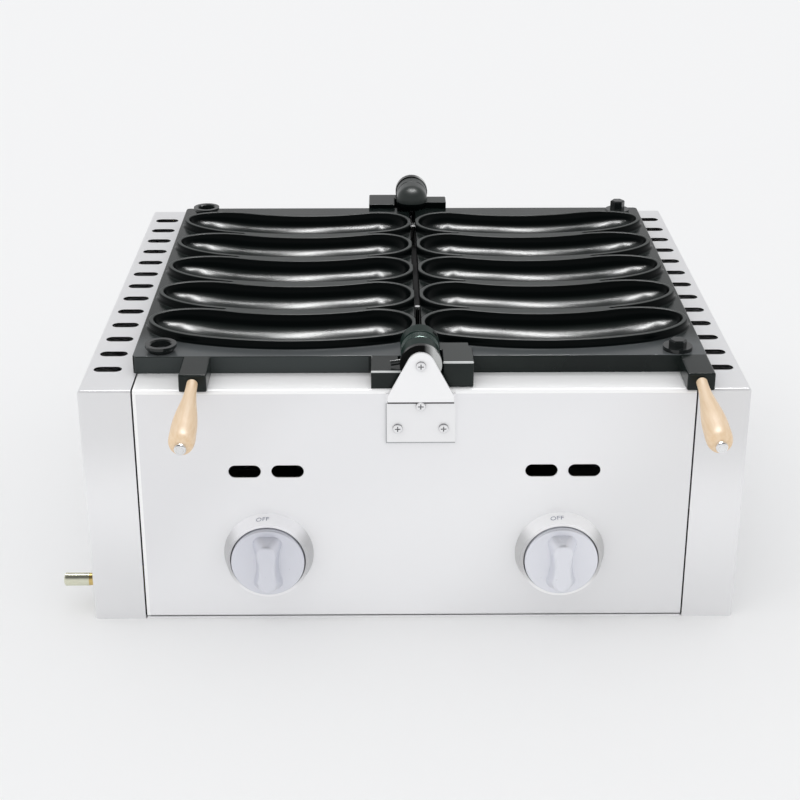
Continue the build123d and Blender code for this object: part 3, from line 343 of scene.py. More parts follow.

# Inside the casing: floor pan, heat shields, burner supports and rail straps of sheet, and the
# square centre rail. They are the same steel, duller. Heat has tinted some of them straw, and the
# shields and the rail are painted black as shade.
inner_steel = satin_steel("inner_steel", (0.36, 0.34, 0.31), (0.52, 0.51, 0.50),
                          (1.0, 20.0, 20.0), 0.45)
for name in ("burner_support_front", "burner_support_rear", "rail_straps"):
    dress_node(name, inner_steel)
pan_steel = satin_steel("pan_steel", (0.80, 0.80, 0.81), (0.88, 0.88, 0.89),
                        (1.0, 20.0, 20.0), 0.40, metallic=0.30)
dress_node("base_pan", pan_steel)
shaded_dark_steel = satin_steel("shaded_dark_steel", (0.010, 0.010, 0.011), (0.030, 0.030, 0.032),
                           (20.0, 1.0, 20.0), 0.60, metallic=0.3)
for name in ("heat_shield_left", "heat_shield_right", "centre_rail"):
    dress_node(name, shaded_dark_steel)

# Mould plates. Each is one iron casting: a slab with a hollow back, five raised banana moulds
# joined by lands, arms with knuckles that turn on the hinge pins, and a lug for the handle. It is
# seasoned black, and its skin keeps the pebbles of the sand it was cast in.
hinge_x, hinge_z = 0.005, 0.249
hinge_line = (hinge_x, hinge_z)
swing_radius, knuckle_radius, pin_radius = 0.0185, 0.017, 0.00605
plate_inner, plate_outer = 0.00225, -0.247
plate_front, plate_back = -0.2235, 0.2205
ledge_height, base_height, rim_height = casing_top, 0.2412, 0.2485
spine_bend = 0.240
spine_half = spine_bend * asin(0.076 / spine_bend)
banana_centre = Vector((-0.10795, 0.069))
mould_rows, row_pitch = 5, 0.0763
cavity_width, cavity_tip, cavity_depth, cavity_steps = 0.031, 0.055, 0.019, 18
mould_wall, bulge_start, bulge_steps = 0.005, 0.0115, 8
side_steps, inner_steps, outer_steps = 48, 28, 40
land_half, land_width, land_notch, land_steps = 0.074, 0.0052, 0.009, 24
land_root, land_below_rim = 0.003, 0.00001
skirt_wall, skirt_depth, slab_corner, slab_edge = 0.010, 0.008, 0.004, 0.0011
cast_edge, lug_edge, line_shift = 0.0012, 0.0018, 0.006
# Rings of a boss, and of the lip that is cut into it: how far each one lies outside the cavity's
# edge, and how high over the rim's top.
boss_rings = [
    (0.0090, -0.0095), (0.0086, -0.0080), (0.0074, -0.0071), (0.0064, -0.0064),
    (0.0057, -0.0053), (0.0053, -0.0040), (0.0050, -0.0022), (0.0047, -0.0012),
    (0.0043, -0.0005), (0.0038, -0.0001), (0.0032, 0.0),
]
lip_rings = [
    (0.0012, 0.003), (0.0012, 0.0), (0.00075, -0.00012), (0.00035, -0.0004), (0.0001, -0.0008),
]
iron, iron_tree, iron_shader = new_finish("seasoned_iron", (0.012, 0.016, 0.014), 0.32)
iron_place = iron_tree.nodes.new("ShaderNodeTexCoord")
iron_axes = iron_tree.nodes.new("ShaderNodeSeparateXYZ")
iron_tree.links.new(iron_place.outputs["Object"], iron_axes.inputs["Vector"])
iron_clouds = grained_noise(iron_tree, (1.0, 1.0, 1.0), 14.0, 4.0)
blend_colours(iron_tree, iron_shader, iron_clouds,
              (0.004, 0.007, 0.0065), (0.011, 0.016, 0.0145))
iron_roughness = spread(iron_tree, iron_axes.outputs["Z"], rim_height - 0.0045,
                        rim_height - 0.0010, 0.22, 0.36)
iron_tree.links.new(iron_roughness, iron_shader.inputs["Roughness"])
iron_pebbles = grained_noise(iron_tree, (1.0, 1.0, 1.0), 1100.0, 1.0)
add_bump(iron_tree, iron_shader, iron_pebbles, 0.12, 0.0004)
# The rims are worn grey with a painted highlight; the front flat is painted greyer as a reflection.
rim_wear_and_sheen = spread(iron_tree, iron_axes.outputs["Z"], rim_height - 0.0007, rim_height)
tint_where(iron, rim_wear_and_sheen, (0.032, 0.038, 0.036))
# Painted reflection: the front flat turns greyer towards the front edge.
sheen_end, sheen_start = -0.165, -0.200
front_flat = inside_box(iron_tree, (-0.25, -0.2232, 0.2403), (0.26, sheen_end, 0.2415))
front_sheen = spread(iron_tree, iron_axes.outputs["Y"], sheen_end, sheen_start)
tint_where(iron, multiply(iron_tree, front_sheen, front_flat), (0.088, 0.096, 0.099))
# The left plate's front face is painted lighter as a reflection.
# The front edges of the two arms are painted bare, for wear and a painted highlight.
left_plate_front = (-0.2480, -0.2245, 0.2240), (-0.0400, -0.2228, 0.2402)
left_arm_edge = (-0.0380, -0.2600, 0.2398), (-0.0080, -0.2578, 0.2420)
right_arm_edge = (0.0220, -0.2575, 0.2470), (0.0520, -0.2548, 0.2490)
bare_and_sheen_iron = (0.62, 0.64, 0.63)
tint_inside(iron, *left_plate_front, (0.038, 0.045, 0.045))
tint_inside(iron, *left_arm_edge, bare_and_sheen_iron)
tint_inside(iron, *right_arm_edge, bare_and_sheen_iron)
# The turned front knuckles are oiled, a little green, and less mirror-like at a flat angle.
knuckle_half = knuckle_radius + 0.0005
knuckles = inside_box(iron_tree, (hinge_x - knuckle_half, -0.2595, 0.2430),
                      (hinge_x + knuckle_half, -0.2100, 0.2700))
tint_where(iron, knuckles, (0.005, 0.020, 0.015))
# The steep walls of the moulds are painted deepest black as shade, and they throw back least.
iron_slope = iron_tree.nodes.new("ShaderNodeSeparateXYZ")
iron_tree.links.new(iron_place.outputs["Normal"], iron_slope.inputs["Vector"])
steep = spread(iron_tree, iron_slope.outputs["Z"], 0.84, 0.70)
moulds = inside_box(iron_tree, (-0.2465, -0.2225, 0.2285), (0.2565, 0.2195, 0.2484))
steep_shade = multiply(iron_tree, steep, moulds)
tint_where(iron, steep_shade, (0.0016, 0.0028, 0.0028))
iron_gloss = iron_tree.nodes.new("ShaderNodeMath")
iron_gloss.operation = "ADD"
iron_tree.links.new(spread(iron_tree, knuckles, 0.0, 1.0, 0.24, 0.07), iron_gloss.inputs[0])
iron_tree.links.new(spread(iron_tree, steep_shade, 0.0, 1.0, 0.0, -0.19), iron_gloss.inputs[1])
iron_tree.links.new(iron_gloss.outputs["Value"], iron_shader.inputs["Specular IOR Level"])


def place_on_spine(along, out, row):
    """A place by its way along a banana's bent middle line and out from it."""
    turn = max(-spine_half, min(spine_half, along)) / spine_bend
    past = along - turn * spine_bend
    x = banana_centre.x + (spine_bend + out) * sin(turn) + past * cos(turn)
    y = banana_centre.y + row * row_pitch - (spine_bend + out) * cos(turn) + past * sin(turn)
    return x, y


def banana_ring(width, tip, height, row):
    """A banana's outline by half its width, its outer end's reach, its height and its row."""
    ring = []
    for step in range(side_steps):
        ring.append(place_on_spine(spine_half * (2 * step / side_steps - 1), width, row))
    for step in range(inner_steps):
        angle = pi * step / inner_steps
        ring.append(place_on_spine(spine_half + width * sin(angle), width * cos(angle), row))
    for step in range(side_steps):
        ring.append(place_on_spine(spine_half * (1 - 2 * step / side_steps), -width, row))
    for step in range(outer_steps):
        angle = pi * step / outer_steps
        ring.append(place_on_spine(-spine_half - tip * sin(angle), -width * cos(angle), row))
    return [(x, y, height) for x, y in ring]


def loft(name, rings):
    """A closed skin through rings of points; a ring that has closed up is merged to a seam."""
    points = [point for ring in rings for point in ring]
    count = len(rings[0])
    faces = [
        (row * count + step, row * count + (step + 1) % count,
         (row + 1) * count + (step + 1) % count, (row + 1) * count + step)
        for row in range(len(rings) - 1) for step in range(count)
    ]
    for ring, start in ((rings[0], 0), (rings[-1], len(points) - count)):
        if len(set(tuple(round(value, 6) for value in point) for point in ring)) == count:
            faces.append(tuple(range(start, start + count)))
    mesh = bpy.data.meshes.new(name)
    mesh.from_pydata(points, [], faces)
    skin = bpy.data.objects.new(name, mesh)
    bpy.context.scene.collection.objects.link(skin)
    return clean_up(skin)


def pick(piece):
    """Selects one piece alone."""
    bpy.ops.object.select_all(action="DESELECT")
    piece.select_set(True)
    bpy.context.view_layer.objects.active = piece
    return piece


def choose(piece, kind, wanted):
    """Goes to edit mode with just the wanted edges or faces selected."""
    pick(piece)
    bpy.ops.object.mode_set(mode="EDIT")
    bpy.ops.mesh.select_mode(type=kind)
    bpy.ops.mesh.select_all(action="DESELECT")
    bpy.ops.object.mode_set(mode="OBJECT")
    for part in piece.data.edges if kind == "EDGE" else piece.data.polygons:
        corners = [piece.data.vertices[index].co for index in part.vertices]
        part.select = wanted(corners)
    bpy.ops.object.mode_set(mode="EDIT")


def level_at(height):
    """A test for choose: do all the corners lie at this height?"""
    return lambda corners: all(abs(corner.z - height) < 0.00001 for corner in corners)


def clean_up(piece):
    """Merges doubled points and turns all faces outwards."""
    pick(piece)
    bpy.ops.object.mode_set(mode="EDIT")
    bpy.ops.mesh.select_all(action="SELECT")
    bpy.ops.mesh.remove_doubles(threshold=0.000001)
    bpy.ops.mesh.delete_loose()
    bpy.ops.mesh.select_all(action="SELECT")
    bpy.ops.mesh.normals_make_consistent(inside=False)
    bpy.ops.object.mode_set(mode="OBJECT")
    return piece


def block(name, low, high, rounding=0.0008, segments=2):
    """A cast or cut block between two corners, with all its edges rounded."""
    low, high = Vector(low), Vector(high)
    bpy.ops.object.select_all(action="DESELECT")
    bpy.ops.mesh.primitive_cube_add(size=1.0, location=(low + high) / 2)
    piece = bpy.context.object
    piece.name = name
    piece.scale = high - low
    bpy.ops.object.transform_apply(location=True, rotation=True, scale=True)
    if rounding:
        bpy.ops.object.mode_set(mode="EDIT")
        bpy.ops.mesh.select_all(action="SELECT")
        bpy.ops.mesh.bevel(offset=rounding, segments=segments, affect="EDGES")
        bpy.ops.object.mode_set(mode="OBJECT")
    return piece


def bar_along_y(name, x, z, start, end, radius, rounding=0.0, sides=72):
    """A round bar along the hinge's direction, its two end edges rounded."""
    bpy.ops.object.select_all(action="DESELECT")
    bpy.ops.mesh.primitive_cylinder_add(vertices=sides, radius=radius, depth=end - start,
                                        location=(x, (start + end) / 2, z),
                                        rotation=(pi / 2, 0.0, 0.0))
    piece = bpy.context.object
    piece.name = name
    bpy.ops.object.transform_apply(location=True, rotation=True, scale=True)
    if rounding:
        choose(piece, "EDGE", lambda corners: abs(corners[0].y - corners[1].y) < 0.00001)
        bpy.ops.mesh.bevel(offset=rounding, segments=3, affect="EDGES")
        bpy.ops.object.mode_set(mode="OBJECT")
    return piece


def dome(name, centre, radius):
    """The front half of a ball, closed a little behind its middle."""
    bpy.ops.object.select_all(action="DESELECT")
    bpy.ops.mesh.primitive_uv_sphere_add(segments=72, ring_count=48, radius=radius,
                                         location=centre, rotation=(pi / 2, 0.0, 0.0))
    piece = bpy.context.object
    piece.name = name
    bpy.ops.object.transform_apply(location=True, rotation=True, scale=True)
    bpy.ops.object.mode_set(mode="EDIT")
    bpy.ops.mesh.select_all(action="SELECT")
    bpy.ops.mesh.bisect(plane_co=(centre[0], centre[1] + 0.002, centre[2]), plane_no=(0, 1, 0),
                        use_fill=True, clear_outer=True)
    bpy.ops.object.mode_set(mode="OBJECT")
    return piece


def combine(piece, others, operation):
    """Joins other pieces to this one, or cuts it with them, and removes them."""
    group = bpy.data.collections.new("operands")
    for other in others:
        for home in list(other.users_collection):
            home.objects.unlink(other)
        group.objects.link(other)
    pick(piece)
    change = piece.modifiers.new("combine", "BOOLEAN")
    change.operation = operation
    change.solver = "MANIFOLD"
    change.operand_type = "COLLECTION"
    change.collection = group
    bpy.ops.object.modifier_apply(modifier=change.name)
    for other in others:
        bpy.data.objects.remove(other)
    bpy.data.collections.remove(group)
    return piece


def finish_piece(piece, name, body, finish, slot, *nodes, sharp_angle=34.0):
    """Smooth shading with crisp edges, the finish, and the CAD nodes that the piece stands for."""
    pick(piece)
    piece.name = name
    piece.data.name = name
    bpy.ops.object.shade_smooth_by_angle(angle=radians(sharp_angle))
    weighted = piece.modifiers.new("weighted", "WEIGHTED_NORMAL")
    weighted.keep_sharp = True
    bpy.ops.object.modifier_apply(modifier=weighted.name)
    piece.data.materials.clear()
    piece.data.materials.append(finish)
    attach(piece, body)
    if nodes:
        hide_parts(*nodes)
    return piece


# The slab has rounded corners and is hollow below, so that a skirt stands all round it.
slab = block("slab", (plate_outer, plate_front, ledge_height),
             (plate_inner, plate_back, base_height), 0.0)
choose(slab, "EDGE", lambda corners: abs(corners[0].z - corners[1].z) > 0.001)
bpy.ops.mesh.bevel(offset=slab_corner, segments=5, affect="EDGES")
bpy.ops.object.mode_set(mode="OBJECT")
choose(slab, "EDGE", level_at(base_height))
bpy.ops.mesh.bevel(offset=slab_edge, segments=3, affect="EDGES")
bpy.ops.object.mode_set(mode="OBJECT")
choose(slab, "FACE", level_at(ledge_height))
bpy.ops.mesh.inset(thickness=skirt_wall)
bpy.ops.mesh.extrude_region_move(TRANSFORM_OT_translate={"value": (0.0, 0.0, skirt_depth)})
bpy.ops.object.mode_set(mode="OBJECT")
# A line across each banana keeps the slab's faces free of holes, which would be filled twice.
for row in range(mould_rows):
    pick(slab)
    bpy.ops.object.mode_set(mode="EDIT")
    bpy.ops.mesh.select_all(action="SELECT")
    bpy.ops.mesh.bisect(plane_co=(0.0, place_on_spine(0.0, 0.0, row)[1] + line_shift, 0.0),
                        plane_no=(0.0, 1.0, 0.0))
    bpy.ops.object.mode_set(mode="OBJECT")

# Each mould is a raised boss that bulges out below, and a round-bottomed cavity with a soft lip.
# A land with notched ends joins it to the next one.
added, cut = [], []
for row in range(mould_rows):
    rings = []
    for step in range(bulge_steps, 0, -1):
        reach = sin(pi / 2 * step / bulge_steps)
        narrow = sqrt(max(0.0, 1 - reach * reach))
        height = rim_height - (cavity_depth + mould_wall) * reach
        if height < rim_height - bulge_start:
            rings.append(banana_ring((cavity_width + mould_wall) * narrow,
                                     (cavity_tip + mould_wall) * narrow, height, row))
    for margin, rise in boss_rings:
        rings.append(banana_ring(cavity_width + margin, cavity_tip + margin,
                                 rim_height + rise, row))
    added.append(loft("boss", rings))
    rings = [banana_ring(cavity_width + margin, cavity_tip + margin, rim_height + rise, row)
             for margin, rise in lip_rings]
    for step in range(1, cavity_steps + 1):
        reach = sin(pi / 2 * (step + 0.3) / cavity_steps) if step < cavity_steps else 1.0
        narrow = sqrt(max(0.0, 1 - reach * reach))
        rings.append(banana_ring(cavity_width * narrow, cavity_tip * narrow,
                                 rim_height - cavity_depth * reach, row))
    cut.append(loft("cavity", rings))
for row in range(mould_rows - 1):
    line = []
    for side in (1, -1):
        for step in range(land_steps + 1):
            line.append(place_on_spine(side * land_half * (2 * step / land_steps - 1),
                                       side * land_width, row + 0.5))
        line.append(place_on_spine(side * (land_half - land_notch), 0.0, row + 0.5))
    added.append(loft("land", [[(x, y, height) for x, y in line]
                               for height in (base_height - land_root,
                                              rim_height - land_below_rim)]))
field = combine(slab, added, "UNION")
# Towards the gap between the plates, bosses and slab end in one straight face.
cut.append(block("gap_side", (plate_inner, -0.3, 0.2), (0.1, 0.3, 0.3), 0.0))
field = clean_up(combine(field, cut, "DIFFERENCE"))
# The right plate's field is the left one's, mirrored about the hinge.
right_field = field.copy()
right_field.data = field.data.copy()
bpy.context.scene.collection.objects.link(right_field)
pick(right_field)
bpy.ops.transform.mirror(constraint_axis=(True, False, False), center_override=(hinge_x, 0.0, 0.0))
bpy.ops.object.transform_apply(location=True, rotation=True, scale=True)
clean_up(right_field)

# Arms, bridges and lugs. Spans across the plate come first, then those from front to back.
left_front_arm, left_rear_arm, left_lug = (-0.0377, -0.014), (-0.043, -0.014), (-0.202, -0.178)
right_front_arm, right_lug = (0.024, 0.0506), (0.233, 0.257)
right_front_bridge, right_rear_bridge = (hinge_x, 0.0477), (hinge_x, 0.043)
left_front, left_rear = (-0.2592, -0.2405), (0.2417, 0.2567)
right_front, right_rear = (-0.2275, -0.2105), (0.2245, 0.2405)
right_arm_front, front_root, rear_root, lug_front = -0.2565, -0.2205, 0.2175, -0.2665
rear_arm_top = 0.246
front_swing, rear_swing = (-0.30, -0.209), (0.206, 0.30)
front_bore, rear_bore = (-0.30, -0.2095), (0.2165, 0.30)


def cast_block(name, across, along, top, rounding=0.0008, segments=2):
    """A block of the casting that starts at the ledge."""
    return block(name, (across[0], along[0], ledge_height), (across[1], along[1], top),
                 rounding, segments)


field = combine(field, [
    bar_along_y("front_swing", *hinge_line, *front_swing, swing_radius),
    bar_along_y("rear_swing", *hinge_line, *rear_swing, swing_radius),
], "DIFFERENCE")
left_plate = combine(field, [
    cast_block("front_bridge", (left_front_arm[0], hinge_x), left_front, base_height),
    cast_block("front_arm", left_front_arm, (left_front[0], front_root), base_height),
    cast_block("rear_arm", left_rear_arm, (rear_root, left_rear[1]), rear_arm_top, cast_edge, 3),
    cast_block("rear_bridge", (left_rear_arm[0], hinge_x), left_rear, rear_arm_top, cast_edge, 3),
    bar_along_y("front_knuckle", *hinge_line, *left_front, knuckle_radius, cast_edge),
    bar_along_y("rear_knuckle", *hinge_line, *left_rear, knuckle_radius, cast_edge),
    cast_block("handle_lug", left_lug, (lug_front, front_root), base_height, lug_edge, 4),
], "UNION")
right_plate = combine(right_field, [
    cast_block("front_arm", right_front_arm, (right_arm_front, front_root), rim_height,
               cast_edge, 3),
    cast_block("front_bridge", right_front_bridge, right_front, rim_height),
    cast_block("rear_bridge", right_rear_bridge, (rear_root, right_rear[1]), rim_height,
               cast_edge, 3),
    bar_along_y("front_knuckle", *hinge_line, *right_front, knuckle_radius, cast_edge),
    bar_along_y("rear_knuckle", *hinge_line, *right_rear, knuckle_radius, cast_edge),
    dome("rear_dome", (hinge_x, right_rear[0], hinge_z), knuckle_radius),
    cast_block("handle_lug", right_lug, (lug_front, front_root), base_height, lug_edge, 4),
], "UNION")
for side, plate in (("left", left_plate), ("right", right_plate)):
    combine(plate, [
        bar_along_y("front_bore", *hinge_line, *front_bore, pin_radius),
        bar_along_y("rear_bore", *hinge_line, *rear_bore, pin_radius),
    ], "DIFFERENCE")
    finish_piece(plate, "plate_" + side, side + "_plate", iron, "plate_iron", "mould_plate_" + side)

# Cups, studs and set screws are steel, blued black and glossy. The right plate's studs meet the
# left one's cups and line the plates up. The set screws close the knuckles' grease holes.
blued_steel, blued_tree, blued_shader = new_finish("blued_steel", (0.010, 0.012, 0.012), 0.18)
blued_clouds = grained_noise(blued_tree, (1.0, 1.0, 1.0), 40.0)
blend_colours(blued_tree, blued_shader, blued_clouds, (0.006, 0.008, 0.008), (0.016, 0.019, 0.019))
for name in ("locating_cups", "locating_studs", "set_screw_left", "set_screw_right"):
    dress_node(name, blued_steel)

# Spacer ring between the two front knuckles. It is turned from steel, blued, and slides onto the
# pivot pin, and its rim is knurled so that fingers can grip it.
ring_radius, ring_width, ring_middle, ring_edge = 0.01655, 0.0124, -0.234, 0.0009
knurl_half, knurl_height, knurl_cuts = 0.0054, 0.00045, 7
bpy.ops.object.select_all(action="DESELECT")
bpy.ops.mesh.primitive_cylinder_add(vertices=72, radius=ring_radius, depth=ring_width,
                                    end_fill_type="NGON",
                                    location=(hinge_x, ring_middle, hinge_z),
                                    rotation=(pi / 2, 0.0, 0.0))
ring = bpy.context.object
bpy.ops.object.transform_apply(location=True, rotation=True, scale=True)
choose(ring, "EDGE", lambda corners: abs(corners[0].y - corners[1].y) < 0.00001)
bpy.ops.mesh.bevel(offset=ring_edge, segments=2, affect="EDGES")
bpy.ops.object.mode_set(mode="OBJECT")
choose(ring, "EDGE", lambda corners: abs(corners[0].y - corners[1].y) > ring_edge * 2)
bpy.ops.mesh.subdivide(number_cuts=knurl_cuts)
bpy.ops.object.mode_set(mode="OBJECT")
choose(ring, "FACE", lambda corners: len(corners) == 4 and all(
    abs(corner.y - ring_middle) < knurl_half for corner in corners))
bpy.ops.mesh.poke(offset=knurl_height)
bpy.ops.object.mode_set(mode="OBJECT")
ring = combine(ring, [bar_along_y("ring_bore", *hinge_line, -0.3, -0.2, pin_radius)],
               "DIFFERENCE")
ring_steel = satin_steel("ring_steel", (0.010, 0.034, 0.026), (0.030, 0.075, 0.058),
                         (40.0, 1.0, 40.0), 0.22, metallic=0.4)
finish_piece(ring, "knurled_ring", "casing", ring_steel, "hinge_ring", "hinge_spacer_ring",
             sharp_angle=12.0)

# Pins, nuts, rods and jets are turned from bright steel. So are the thrust washers between the
# knuckles and the triangles, with painted shade: dark on their left side, bright on their right.
bright_steel = satin_steel("bright_steel", (0.78, 0.78, 0.78), (0.92, 0.92, 0.92),
                           (20.0, 20.0, 20.0), 0.22)
for name in ("gap_pins", "handle_nut_left", "handle_nut_right", "handle_rod_left",
             "handle_rod_right", "pivot_pin_front", "pivot_pin_rear", "injector_jet_left",
             "injector_jet_right"):
    dress_node(name, bright_steel)
washer_steel = satin_steel("washer_steel", (0.50, 0.51, 0.50), (0.86, 0.87, 0.86),
                           (20.0, 20.0, 20.0), 0.25)
# Painted shade: the washers darken towards the left.
shade_along(washer_steel, 1.0, 0.0, [(0.0085, 0.012), (0.0165, 1.0)])
for name in ("thrust_washer_front", "thrust_washer_rear"):
    dress_node(name, washer_steel)

# Screws of the hinge brackets: pan heads with a cross recess, of bright steel. Three hold each
# bracket to its panel, and one holds each triangle to the pivot pin. Front recesses: painted shade.
recess_shade = (0.22, 0.22, 0.23)
bracket_recesses = (-0.030, -0.2661, 0.18), (0.040, -0.2640, 0.22)
pivot_recess = (-0.010, -0.2686, 0.24), (0.020, -0.2665, 0.26)
screw_steel = satin_steel("screw_steel", (0.86, 0.86, 0.87), (0.96, 0.96, 0.96),
                          (20.0, 20.0, 20.0), 0.30, metallic=0.5)
tint_inside(screw_steel, *bracket_recesses, recess_shade)
tint_inside(screw_steel, *pivot_recess, recess_shade)
head_radius, head_height, head_rounding, shank_radius = 0.00425, 0.0022, 0.0012, 0.0025
slot_half, slot_width, slot_depth, overlap = 0.0024, 0.001, 0.0013, 0.0005


def cross_screw(side, x, z, seat, length):
    """A screw that points inwards; side is -1 at the cooker's front and 1 at its back."""
    top = seat + side * head_height
    head = bar_along_y("screw", x, z, *sorted((seat, top)), head_radius, sides=40)
    choose(head, "EDGE", lambda corners: all(abs(corner.y - top) < 0.00001 for corner in corners))
    bpy.ops.mesh.bevel(offset=head_rounding, segments=4, affect="EDGES")
    bpy.ops.object.mode_set(mode="OBJECT")
    ends = sorted((seat + side * overlap, seat - side * length))
    combine(head, [bar_along_y("shank", x, z, *ends, shank_radius, sides=32)], "UNION")
    low, high = sorted((top - side * slot_depth, top + side * 2 * overlap))
    return combine(head, [
        block("slot", (x - wide, low, z - tall), (x + wide, high, z + tall), 0.0)
        for wide, tall in ((slot_half, slot_width / 2), (slot_width / 2, slot_half))
    ], "DIFFERENCE")


bracket_seat, bracket_length, pivot_seat, pivot_length = 0.2645, 0.009, 0.267, 0.016
hole_spread, upper_hole, lower_hole = 0.01985, 0.211, 0.190
bracket_holes = [(hinge_x, upper_hole), (hinge_x - hole_spread, lower_hole),
                 (hinge_x + hole_spread, lower_hole)]
bracket_set = [cross_screw(side, x, z, side * bracket_seat, bracket_length)
               for side in (-1, 1) for x, z in bracket_holes]
pivot_set = [cross_screw(side, *hinge_line, side * pivot_seat, pivot_length) for side in (-1, 1)]
for name, node, screws in (("bracket_cross_screws", "bracket_screws", bracket_set),
                           ("pivot_cross_screws", "pivot_screws", pivot_set)):
    pick(screws[0])
    for screw in screws[1:]:
        screw.select_set(True)
    bpy.ops.object.join()
    finish_piece(screws[0], name, "casing", screw_steel, "bright_steel", node)

# Bent brackets and triangles that carry the hinge, screwed on the front and rear panels. The
# triangle's lower edge stands on the bracket as a step, with a painted shadow line under it. The
# front bracket's left and lower edges are painted grey as shadow lines.
step_line = (-0.0237, -0.3, 0.2131), (0.0337, -0.2640, 0.2156)
bracket_left = (-0.0270, -0.3, 0.1740), (-0.0243, -0.2500, 0.2140)
bracket_foot = (-0.0270, -0.3, 0.1740), (0.0370, -0.2500, 0.1769)
step_shadow_black, edge_shadow_grey = (0.01, 0.01, 0.01), (0.36, 0.37, 0.38)
bracket_steel = satin_steel("bracket_steel", (0.87, 0.87, 0.88), (0.93, 0.93, 0.935),
                            (30.0, 30.0, 1.0), 0.36, metallic=0.3, turn=radians(35))
tint_inside(bracket_steel, *step_line, step_shadow_black)
# Painted shadow lines along the front bracket's left and lower edges.
tint_inside(bracket_steel, *bracket_left, edge_shadow_grey)
tint_inside(bracket_steel, *bracket_foot, edge_shadow_grey)
# The triangles are painted whiter than the brackets, as faces that catch more light.
lit_pivot_steel = satin_steel("lit_pivot_steel", (0.97, 0.97, 0.975), (1.0, 1.0, 1.0), (30.0, 30.0, 1.0),
                          0.36, metallic=0.15)
for name in ("hinge_bracket_front", "hinge_bracket_rear"):
    dress_node(name, bracket_steel)
for name in ("pivot_plate_front", "pivot_plate_rear"):
    dress_node(name, lit_pivot_steel)

# Wooden grips on the handle rods. They are turned on a lathe, bored through, sanded and left pale
# under a clear varnish.
wood, wood_tree, wood_shader = new_finish("handle_wood", (0.90, 0.74, 0.50), 0.42)
wood_grain = grained_noise(wood_tree, (60.0, 4.0, 60.0), 6.0, 5.0)
blend_colours(wood_tree, wood_shader, wood_grain, (0.81, 0.59, 0.37), (0.88, 0.68, 0.47))
for name in ("handle_grip_left", "handle_grip_right"):
    dress_node(name, wood)

# Knobs and bezels: aluminium, turned and brushed round their axis, so that the light spreads in
# rays from the middle. A knob is a disc with a waisted grip. Each bezel says OFF in grey print.
knob_height, knob_distance = 0.067, 0.130
disc_radius, disc_front, disc_back, disc_rounding = 0.0325, -0.2815, -0.2705, 0.002
grip_half_length, grip_half_width, grip_waist, grip_draft = 0.0265, 0.013, 0.010, 0.2126
flank_radius, flank_half_length = 0.05352, 0.01767
grip_corner, corner_growth, grip_top, grip_rounding = 0.008, 0.27, 0.012, 0.0025
flank_steps, corner_steps, rounding_steps = 24, 10, 6
socket_radius, socket_end = 0.0041, -0.2892
word_height, word_width, word_middle, word_turn = 0.0067, 0.0116, -0.270, radians(-6.3)
cone_radius, cone_slope, ink = 0.038, radians(14.93), 0.00012
print_grey, print_tree, print_shader = new_finish("print_grey", (0.30, 0.31, 0.36), 0.6)
blend_colours(print_tree, print_shader, grained_noise(print_tree, (1.0, 1.0, 1.0), 900.0),
              (0.16, 0.17, 0.22), (0.46, 0.48, 0.55))


def turned_metal(name, x, low, high, metallic):
    """Metal brushed in circles round a knob's axis."""
    finish = satin_steel(name, low, high, (10.0, 10.0, 10.0), 0.30, 0.05, metallic)
    tree = finish.node_tree
    shader = tree.nodes["Principled BSDF"]
    place = tree.nodes.new("ShaderNodeTexCoord")
    axes = tree.nodes.new("ShaderNodeSeparateXYZ")
    tree.links.new(place.outputs["Object"], axes.inputs["Vector"])
    ray = tree.nodes.new("ShaderNodeCombineXYZ")
    ray.inputs["Y"].default_value = 0.030
    for axis, middle in (("X", x), ("Z", knob_height)):
        offset = tree.nodes.new("ShaderNodeMath")
        offset.operation = "SUBTRACT"
        offset.inputs[1].default_value = middle
        tree.links.new(axes.outputs[axis], offset.inputs[0])
        tree.links.new(offset.outputs["Value"], ray.inputs[axis])
    shader.inputs["Anisotropic"].default_value = 0.75
    tree.links.new(ray.outputs["Vector"], shader.inputs["Tangent"])
    return finish


def grip_ring(x, height, rounding=0.0):
    """The grip's outline at a height over the disc: its flanks are hollow arcs, its ends round."""
    inset = grip_draft * height + rounding
    corner = grip_corner + corner_growth * max(0.0, height)
    straight = grip_half_length - inset - corner

    def flank(along):
        if abs(along) > flank_half_length:
            return grip_half_width - inset
        return grip_waist + flank_radius - sqrt(flank_radius ** 2 - along * along) - inset

    wide = flank(straight)
    across = min(corner, wide)
    ring = []
    for side in (1, -1):
        for step in range(flank_steps):
            along = side * straight * (2 * step / flank_steps - 1)
            ring.append((side * flank(along), along))
        for start, middle in ((0.0, wide - across), (pi / 2, across - wide)):
            for step in range(corner_steps):
                angle = start + pi * step / (2 * corner_steps)
                ring.append((side * (middle + across * cos(angle)),
                             side * (straight + corner * sin(angle))))
    return [(x + right, disc_front - height, knob_height + up) for right, up in ring]


def print_word(word, name, x):
    """Prints a word on a bezel's cone, a little left of the top."""
    bpy.ops.object.select_all(action="DESELECT")
    bpy.ops.object.text_add()
    letters = bpy.context.object
    letters.data.body = word
    letters.data.size = word_height
    letters.data.extrude = 0.00005
    letters.data.align_x = "CENTER"
    letters.data.align_y = "CENTER"
    pick(letters)
    bpy.ops.object.convert(target="MESH")
    letters = bpy.context.object
    stretch = word_width / letters.dimensions.x
    for vertex in letters.data.vertices:
        across, along, raised = vertex.co
        radius = cone_radius + along * sin(cone_slope) + ink + raised
        angle = word_turn + across * stretch / cone_radius
        vertex.co = (x + radius * sin(angle), word_middle + along * cos(cone_slope),
                     knob_height + radius * cos(angle))
    clean_up(letters)
    return finish_piece(letters, name, "casing", print_grey, "bezel_metal")


